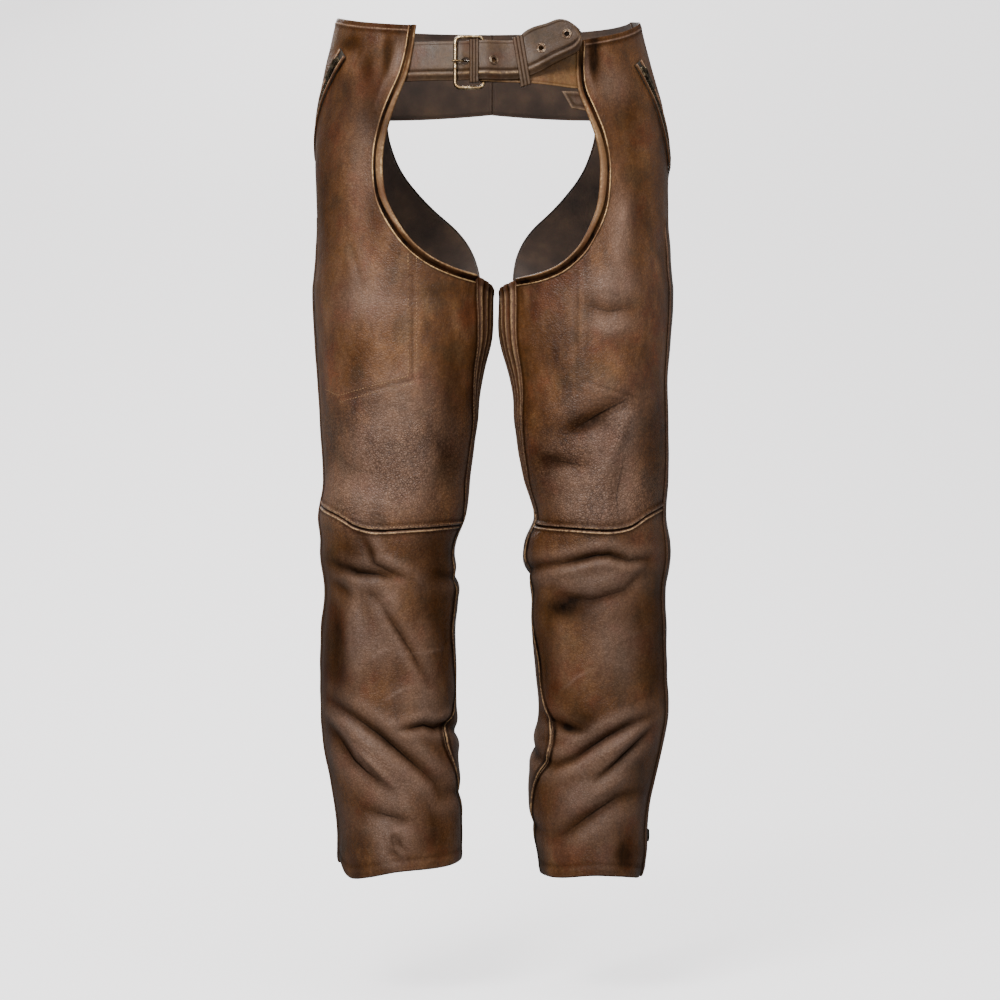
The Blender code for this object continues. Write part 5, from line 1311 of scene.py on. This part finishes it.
def buckleFrame():
    frontX, frontLayer = buckle["frontBar"]
    corners = ((buckle["barX"], buckle["top"], -1, -1), (frontX, buckle["top"], 1, -1),
               (frontX, buckle["bottom"], 1, 1), (buckle["barX"], buckle["bottom"], -1, 1))
    points = []
    for index, (x, z, inward, down) in enumerate(corners):
        for step in range(11):
            turn = radians(9 * step if index % 2 else 90 - 9 * step)
            atX = x + inward * buckle["corner"] * (1 - sin(turn))
            atZ = z + down * buckle["corner"] * (1 - cos(turn))
            share = (atX - buckle["barX"]) / (frontX - buckle["barX"])
            points.append(beltPoint(atX, atZ, buckle["barLayer"] * (1 - share) + frontLayer * share))
    wirePiece("buckle_frame", points, buckle["wire"], brass, cyclic=True, sides=6)


def buckleProng():
    turns = [radians(-125 + 30 * step) for step in range(10)]
    route = [(buckle["hook"] * cos(turn), buckle["hook"] * sin(turn)) for turn in turns]
    points = smoothRun([beltPoint(buckle["barX"] + along, buckle["prongZ"], buckle["barLayer"] + out)
                        for along, out in route + list(buckle["prong"])], 0.9)
    taper = np.interp(np.linspace(1, 0, len(points)), (0, 0.03, 0.1, 1), (0.55, 0.85, 1, 1))
    wirePiece("buckle_prong", points, buckle["prongWire"], brass, sides=4, taper=taper)


turnedStrap, turnedPoints = buckleStrap()
buckleFrame()
buckleProng()

keepers = {
    "keeper_inner": {"half": 4.9, "x": -18.6, "slant": 0, "z": -19.1, "climb": 0, "reach": 23.6, "back": 0.9},
    "keeper_outer": {
        "half": 5.3, "x": 31.5, "slant": 8.2, "z": -19.0, "climb": 0.35, "reach": 27.1, "back": 0.4,
    },
}
keeperShape = {"corner": 1.6, "gap": 0.6, "wall": 1.2, "ribs": 3, "ribHeight": 0.4}


def coverLayer(x, z):
    # the layer at which the free strap's outer face lies here
    start, after = beltPoint(x, z, 40), beltPoint(x, z, 39)
    _, _, _, distance = strapFaces.ray_cast(Vector(start * mm), Vector(after - start).normalized())
    return 40 - distance / mm


def keeperLoop(name):
    size, corner = keepers[name], keeperShape["corner"]
    columns = np.linspace(-1, 1, 25)
    rib = np.abs(np.sin(columns * pi / 2 * keeperShape["ribs"] + pi / 2)) ** 0.6
    points = np.zeros((len(columns), 4 * 7 + 1, 3))
    for i, share in enumerate(columns):
        loop = []
        for quarter in range(4):
            up = 1 if quarter in (0, 1) else -1
            x = size["x"] + share * size["half"] - up * size["slant"] / 2
            z = size["z"] + share * size["half"] * size["climb"] + up * (size["reach"] - corner)
            layer = size["back"] + corner
            if quarter in (0, 3):
                layer = coverLayer(x, np.clip(z, -29, 0)) + keeperShape["gap"] + keeperShape["wall"] - corner
            for step in range(7):
                turn = radians(90 * quarter + 15 * step)
                bulge = corner + keeperShape["ribHeight"] * (rib[i] - 0.6)
                loop.append(beltPoint(x, z + bulge * sin(turn), layer + bulge * cos(turn)))
        points[i] = loop + loop[:1]
    away = points - points[:, :-1].mean(axis=1, keepdims=True)
    # the dark between the ribs is painted shade, and the rib tops are lighter with wear and painted highlight
    piece = shell(name, points, away, (beltHide, fleshSide, hideEdge), keeperShape["wall"] - 0.1,
                  0.3 + 0.6 * (1 - rib)[:, None] ** 1.3, 0.4 * rib[:, None] ** 3, closed=True)
    return belongs(piece, name)


[keeperLoop(name) for name in keepers]

# Half section of an eyelet, a barrel under a rolled rim: radius, height
eyelet = {
    "wall": 0.3,
    "profile": (
        (2.6, -2.2), (2.6, 0.15), (2.75, 0.42), (3.1, 0.55), (3.45, 0.42), (3.7, 0.2), (4.2, 0.18),
        (4.45, 0.4), (4.8, 0.52), (5.15, 0.4), (5.3, 0.12), (5.2, -0.1),
    ),
}
for index, (hit, normal, _, _) in enumerate(strapHoles[:3]):
    name = f"eyelet_{index + 1}"
    ring = spun(name, eyelet["profile"], hit, (1, 0, 0), normal, browned)
    addWall(ring, eyelet["wall"])
    belongs(ring, name)

# The tab under the strap: z of its top and of its foot at both ends, x of its slanted end at the
# top and at the foot, x of its other end, how far it rises on the way there, and its stitching
tab = {"top": -49.2, "foot": (-68, -72), "start": (75, 86), "end": 118, "rise": 2.2, "seam": 2.6}
share, step = np.meshgrid(stations(40, 0.8, 3, 5), stations(22, 0.8, 3, 5))
z = tab["top"] * (1 - step) + (tab["foot"][0] * (1 - share) + tab["foot"][1] * share) * step
x = (tab["start"][0] * (1 - step) + tab["start"][1] * step) * (1 - share) + tab["end"] * share
points = beltPoint(x, z, tab["rise"] * share + leather)
out = gridNormals(points, np.array((0, -1.0, 0)))
edge = np.minimum(np.minimum(arcs(points, 1), arcs(points, 0)), arcs(points, 0)[-1:] - arcs(points, 0))
points = points + out * (0.3 * hill(edge, tab["seam"], 1.4) - 0.5 * hill(edge, 0, 0.8))[..., None]
# a dark band inside the stitched welt is painted shade, and the edge is lighter with wear and painted
# highlight
piece = shell("stay_tab", points, out, (beltHide, fleshSide, hideEdge), leather - 0.1,
              0.5 * hill(edge, 5, 1.6), 0.6 * hill(edge, 1.2, 1))
panels["stay_tab"] = {"points": points, "normals": out}
belongs(piece, "stay_tab")
print("belt done")

# Pockets and zips

# Where each pocket starts and ends: angle and height
pocket = {
    "top": {"r": (-30, -2), "l": (-28, -12)}, "end": {"r": (16, -125), "l": (-3, -135)},
    "tapeWidth": 17, "lipAt": 6.5, "lipWidth": 4.4, "lift": 1.3, "lipHigh": 1.45, "sunk": 3.2,
}
# Each zip's teeth: pitch, and their length along the chain, width and height
teeth = {"pocket": (2.9, (1.5, 3.2, 1.3)), "leg": (3.4, (1.7, 3.6, 1.5))}


def pocketLine(side, share):
    # angle and height at a share of the way down the pocket
    (startAngle, startZ), (endAngle, endZ) = pocket["top"][side], pocket["end"][side]
    return startAngle + (endAngle - startAngle) * share, startZ + (endZ - startZ) * share


def pocketPoint(side, share, across=0.0, lift=0.0):
    # points beside the pocket's line, so far towards the back
    share, across = np.broadcast_arrays(np.asarray(share, float), np.asarray(across, float))
    angle, z = pocketLine(side, share)
    before, after = (skinPoint(side, *pocketLine(side, share + step)) for step in (-0.02, 0.02))
    sideways = np.cross(skinNormal(side, angle, z), unit(after - before))
    around = aroundSkin(side, angle, z)
    sideways = sideways * np.sign((sideways * around).sum(axis=-1, keepdims=True))
    angle = angle + across * (sideways * around).sum(axis=-1) / (around**2).sum(axis=-1)
    z = z + across * sideways[..., 2]
    return skinPoint(side, angle, z) + skinNormal(side, angle, z) * np.asarray(lift)[..., None]


def tapeLift(share):
    # how high the pocket's tape lies, sinking into the leather at its lower end
    return pocket["lift"] - pocket["sunk"] * (1 - smoothStep((0.98 - share) / 0.12))


def toothShape(size):
    bm = bmesh.new()
    bmesh.ops.create_cube(bm, size=1)
    bmesh.ops.scale(bm, vec=size, verts=bm.verts)
    bmesh.ops.bevel(bm, geom=bm.edges[:], offset=min(size) * 0.22, affect="EDGES", segments=1, profile=0.5,
                    material=-1)
    return meshOf(bm, "tooth")


def zipChain(name, line, out, pitch, size):
    # two rows of teeth, one half a pitch behind the other
    placed = []
    for way, shift in ((1, 0.0), (-1, 0.5)):
        spots, ups = evenly(line, out, pitch, pitch * (1 + shift), pitch)
        for here, after, up in zip(spots, spots[1:], ups):
            along, up = Vector(after - here).normalized(), Vector(up).normalized()
            sideways = along.cross(up).normalized() * way
            placed.append(placement(Vector(here) + sideways * size[1] * 0.33 + up * size[2] / 2, along, up))
    return belongs(copies(name, toothShape(size), placed, teethMetal))


for side in sideSign:
    share = np.linspace(0, 1, 64)[:, None]
    across = np.linspace(-1, 1, 13)[None, :] * pocket["tapeWidth"] / 2
    points = pocketPoint(side, share, across, tapeLift(share) - 0.25 * (np.abs(across) < 3))
    outwards = skinNormal(side, pocket["top"][side][0], -60.0)
    name = "pocket_tape_" + side
    tapePiece = belongs(shell(name, points, gridNormals(points, outwards), (tape,), 0.7), name)
    down = np.linspace(0.03, 0.97, 90)
    chain = zipChain("pocket_chain_" + side, pocketPoint(side, down, 0.0, tapeLift(down) + 0.05),
                     skinNormal(side, *pocketLine(side, down)), *teeth["pocket"])
    for label, way in (("front", -1), ("back", 1)):
        v = np.linspace(-1, 1, 15)
        bulge = np.sqrt(np.clip(1 - v**4, 0, 1))
        beyond = way * pocket["lipAt"] + v * pocket["lipWidth"] / 2
        low = smoothStep((1 - share) / 0.2)
        high = (pocket["lift"] + 0.75 + pocket["lipHigh"] * bulge) * low - 0.4 + 0.12 * np.sin(share * 23)
        points = pocketPoint(side, share, beyond * (0.45 + 0.55 * low) + 0.25 * np.sin(share * 9 + way), high)
        name = f"pocket_lip_{label}_{side}"
        # the lip's far side gets painted shade, and its zip side a light line of wear and painted highlight
        piece = shell(name, points, gridNormals(points, outwards), (cowhide, fleshSide, hideEdge), 0.5,
                      0.35 * hill(v * way, 0.9, 0.3),
                      0.9 * hill(v * way, -0.35, 0.35) * (0.8 + 0.2 * np.sin(share * 31)) * low)
        belongs(piece, name)
    pocketPoint(side, share, across, pocket["lift"])

    row = (yokeRow + (hemRow - yokeRow) * stations(835, 3, 3.6, 9))[:, None]
    z = outerHeight(row) + hemRise(side, row)
    start, end = (beside(side, at + legTurn(side, row), z, way * seamGap / 2)
                  for at, way in ((frontEdgeAngle, 1), (backEdgeAngle, -1)))
    # the tape is sewn on under both edges and under the yoke
    columns = np.concatenate([[-0.16, -0.1, -0.03], np.linspace(0, 1, 17), [1.03, 1.1, 1.16]])[None, :]
    fromMiddle = np.abs(columns - 0.5)
    angle = start + (end - start) * columns
    z = underYoke(z + 1.5 * belowKnee(row), row, angle, 2.5 * lap)
    base, normal = skinPoint(side, angle, z), skinNormal(side, angle, z)
    tuck = 0.43 * smoothStep((yokeRow + 0.25 - row) / 0.1)
    tuck = np.maximum(smoothStep((fromMiddle - 0.47) / 0.04), tuck)
    high = creaseRelief(side, base, normal)[0] + slackness(base)
    high = high - 0.35 - 0.5 * (fromMiddle < 0.2) - 2.1 * tuck
    points = base + normal * high[..., None]
    name = "leg_zip_" + side
    zipPiece = belongs(shell(name, points, normal, (tape,), 1.0), name)
    chain = zipChain("leg_chain_" + side, points[1:, 11], normal[1:, 11], *teeth["leg"])
print("zips done")

# Hard pieces: the zip sliders and pulls keep their solids, and the snaps get new caps

for node in ("pocket_slider", "pocket_pull", "leg_slider", "leg_pull"):
    for side in sideSign:
        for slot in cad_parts[f"{node}_{side}"].material_slots:
            slot.material = zipBrass

# Half section of a snap's pressed cap with its rolled rim: radius, height
capProfile = (
    (7.0, 0), (7.0, 1.2), (6.7, 1.9), (6.1, 2.2), (5.5, 2.0), (5.0, 1.9), (4.2, 2.15), (2.6, 2.5),
    (0.9, 2.65), (0, 2.68),
)
for side in sideSign:
    # the cap is spun about the snap's own axis
    name = "cuff_snap_" + side
    spots = np.array([vert.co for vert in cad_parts[name].data.vertices]) / mm
    centre = spots.mean(axis=0)
    axis = np.linalg.svd(spots - centre)[2][2]
    out = axis * np.sign(axis[0] * sideSign[side])
    low = ((spots - centre) @ out).min()
    profile = [(radius, high + low) for radius, high in capProfile]
    belongs(spun(name, profile, centre, (0, 0, 1), out, blackEnamel, capped=True), name)

# Stitching

stitches = {"pitch": 3.6, "length": 3.0, "width": 0.95, "height": 0.5, "sunk": 0.05, "margin": 2.0}
crotchEnd = -262  # the inner seam's stitching starts here, below the end of the opening
# Rows of stitches along the edges of each panel: edge, distance from the edge
seamRows = {
    "front_thigh_": (("right", 2.9), ("bottom", 2.6), ("top", 6.0)),
    "front_shin_": (("top", 4.6), ("right", 2.9), ("bottom", 7.5)),
    "back_leg_": (("left", 2.9), ("right", 2.9), ("top", 2.9), ("bottom", 7.5)),
    "back_yoke_": (("top", 6.0), ("bottom", 2.6), ("left", 2.9), ("right", 2.9)),
    "zip_flap_": (("right", 2.4), ("right", 7.4), ("bottom", 7.5), ("left", 3.0)),
}
# The stitching that holds the pocket bags, seen from the front: x from the middle plane, and z
bagRows = {
    "r": (((89, -222), (89, -353), (165, -373), (181, -365)),
          ((80, -222), (80, -352), (84, -360), (164, -380))),
    "l": (((88, -242), (88, -352)), ((95, -242), (95, -354), (157, -374), (168, -375))),
}
bm = bmesh.new()
bmesh.ops.create_icosphere(bm, subdivisions=1, radius=1)
bmesh.ops.scale(bm, vec=(stitches["length"] / 2, stitches["width"] / 2, stitches["height"]), verts=bm.verts)
stitch = meshOf(bm, "stitch")


def stitchPlaces(line, out, margin=stitches["margin"]):
    spots, ways = evenly(line, out, stitches["pitch"], margin, margin)
    placed = []
    for here, after, way in zip(spots, spots[1:], ways):
        way = Vector(way).normalized()
        middle = Vector((here + after) / 2) - way * stitches["sunk"]
        placed.append(placement(middle, Vector(after - here), way))
    return placed


def sewn(name, placed, look):
    belongs(copies(name, stitch, placed, look))


for side in sideSign:
    for panel, rows in seamRows.items():
        placed = []
        for edge, distance in rows:
            shift = panels[panel + side].get("shift", 0) if edge == "right" else 0
            line, out = inset(panels[panel + side], edge, distance + shift)
            if panel == "front_thigh_" and edge == "right":
                line, out = line[line[:, 2] < crotchEnd], out[line[:, 2] < crotchEnd]
            placed += stitchPlaces(line, out)
        if panel == "front_thigh_":
            faces = facesOf(panels[panel + side]["piece"])
            for route in bagRows[side]:
                flat = np.array([(sideSign[side] * x, z) for x, z in route], float)
                travelled = arcs(flat, 0)
                spots = []
                for at in np.arange(0, travelled[-1], 1.8):
                    x, z = (np.interp(at, travelled, flat[:, k]) for k in (0, 1))
                    spots.append(onFaces(faces, np.array((x, -120.0, z)), np.array((0, -1.0, 0)), 60))
                placed += stitchPlaces(*(np.array(values) for values in zip(*spots)), 0)
        sewn("stitches_" + panel + side, placed, tanThread if panel == "front_thigh_" else brownThread)
    bound = panels["edge_binding_" + side]
    sewn("stitches_binding_" + side, stitchPlaces(bound["ridge"], bound["out"]), tanThread)
strapLine = panels["strap_holes"]
kept = strapLine["left"] > 6
placed = []
for share in (0.925, -0.65, -0.93):
    column = int(np.argmin(np.abs(np.linspace(-1, 1, strapLine["points"].shape[1]) - share)))
    placed += stitchPlaces(strapLine["points"][kept][:, column], strapLine["normals"][kept][:, column])
sewn("stitches_strap", placed, brownThread)
placed = []
for edge in ("left", "top", "bottom"):
    placed += stitchPlaces(*inset(panels["stay_tab"], edge, tab["seam"]))
sewn("stitches_stay_tab", placed, tanThread)
print("stitching done")

# Camera and light

camera = bpy.data.cameras.new("view")
camera.lens, camera.clip_end = 108, 800
viewer = addObject("view", camera)
viewer.location = (0.0088, -3.3, -0.485)
viewer.rotation_euler = (radians(90), 0, 0)
bpy.context.scene.camera = viewer

studio = {
    "floor": -1.03, "back": 3.4, "bend": 1.2, "front": -300, "width": 600, "top": 5.0,
    "paper": "#ebe9ea", "glow": 1.74,
}


def sweep():
    # one sheet of studio paper: floor, bend and wall
    profile = [(studio["front"], studio["floor"])]
    for step in range(13):
        turn = radians(90 * step / 12)
        profile.append((studio["back"] - studio["bend"] * (1 - sin(turn)),
                        studio["floor"] + studio["bend"] * (1 - cos(turn))))
    profile.append((studio["back"], studio["top"]))
    bm = bmesh.new()
    line = [bm.verts.new((-studio["width"] / 2, y, z)) for y, z in profile]
    edges = [bm.edges.new(pair) for pair in zip(line, line[1:])]
    moved = bmesh.ops.extrude_edge_only(bm, edges=edges)["geom"]
    ends = [part for part in moved if isinstance(part, bmesh.types.BMVert)]
    bmesh.ops.translate(bm, vec=(studio["width"], 0, 0), verts=ends)
    bmesh.ops.recalc_face_normals(bm, faces=bm.faces)
    # Matt studio paper, lit evenly from its own side
    made, tree, shader, _ = newMaterial("studio paper")
    fill(tree, shader, {
        "Base Color": studio["paper"], "Roughness": 0.9,
        "Emission Color": studio["paper"], "Emission Strength": studio["glow"],
    })
    obj = addObject("paper", meshOf(bm, "paper"), (made,))
    # the bright paper is a backdrop, and leaves the lighting of the leather to the lamps
    obj.visible_diffuse, obj.visible_glossy = False, False


def softLight(name, place, target, size, power):
    data = bpy.data.lights.new(name, "AREA")
    data.shape, data.size, data.size_y, data.energy = "RECTANGLE", size[0], size[1], power
    lamp = addObject(name, data)
    lamp.location = place
    lamp.rotation_euler = (Vector(target) - Vector(place)).to_track_quat("-Z", "Y").to_euler()


sweep()
softLight("key", (-0.85, -2.3, 1.25), (0, 0, -0.35), (1.0, 1.0), 90)
softLight("fill", (1.1, -3.2, 0.0), (0, 0, -0.5), (1.4, 1.8), 18)
softLight("top", (0.0, -0.9, 2.0), (0, 0.2, -0.6), (1.8, 1.2), 26)
softLight("back", (-0.7, 2.9, 1.5), (0, 0, -0.4), (1.6, 1.2), 100)
world = bpy.data.worlds.new("studio")
world.use_nodes = True
world.node_tree.nodes["Background"].inputs[0].default_value = tone("#e6e4e2")
world.node_tree.nodes["Background"].inputs[1].default_value = 0.5
bpy.context.scene.world = world
print("studio ready")
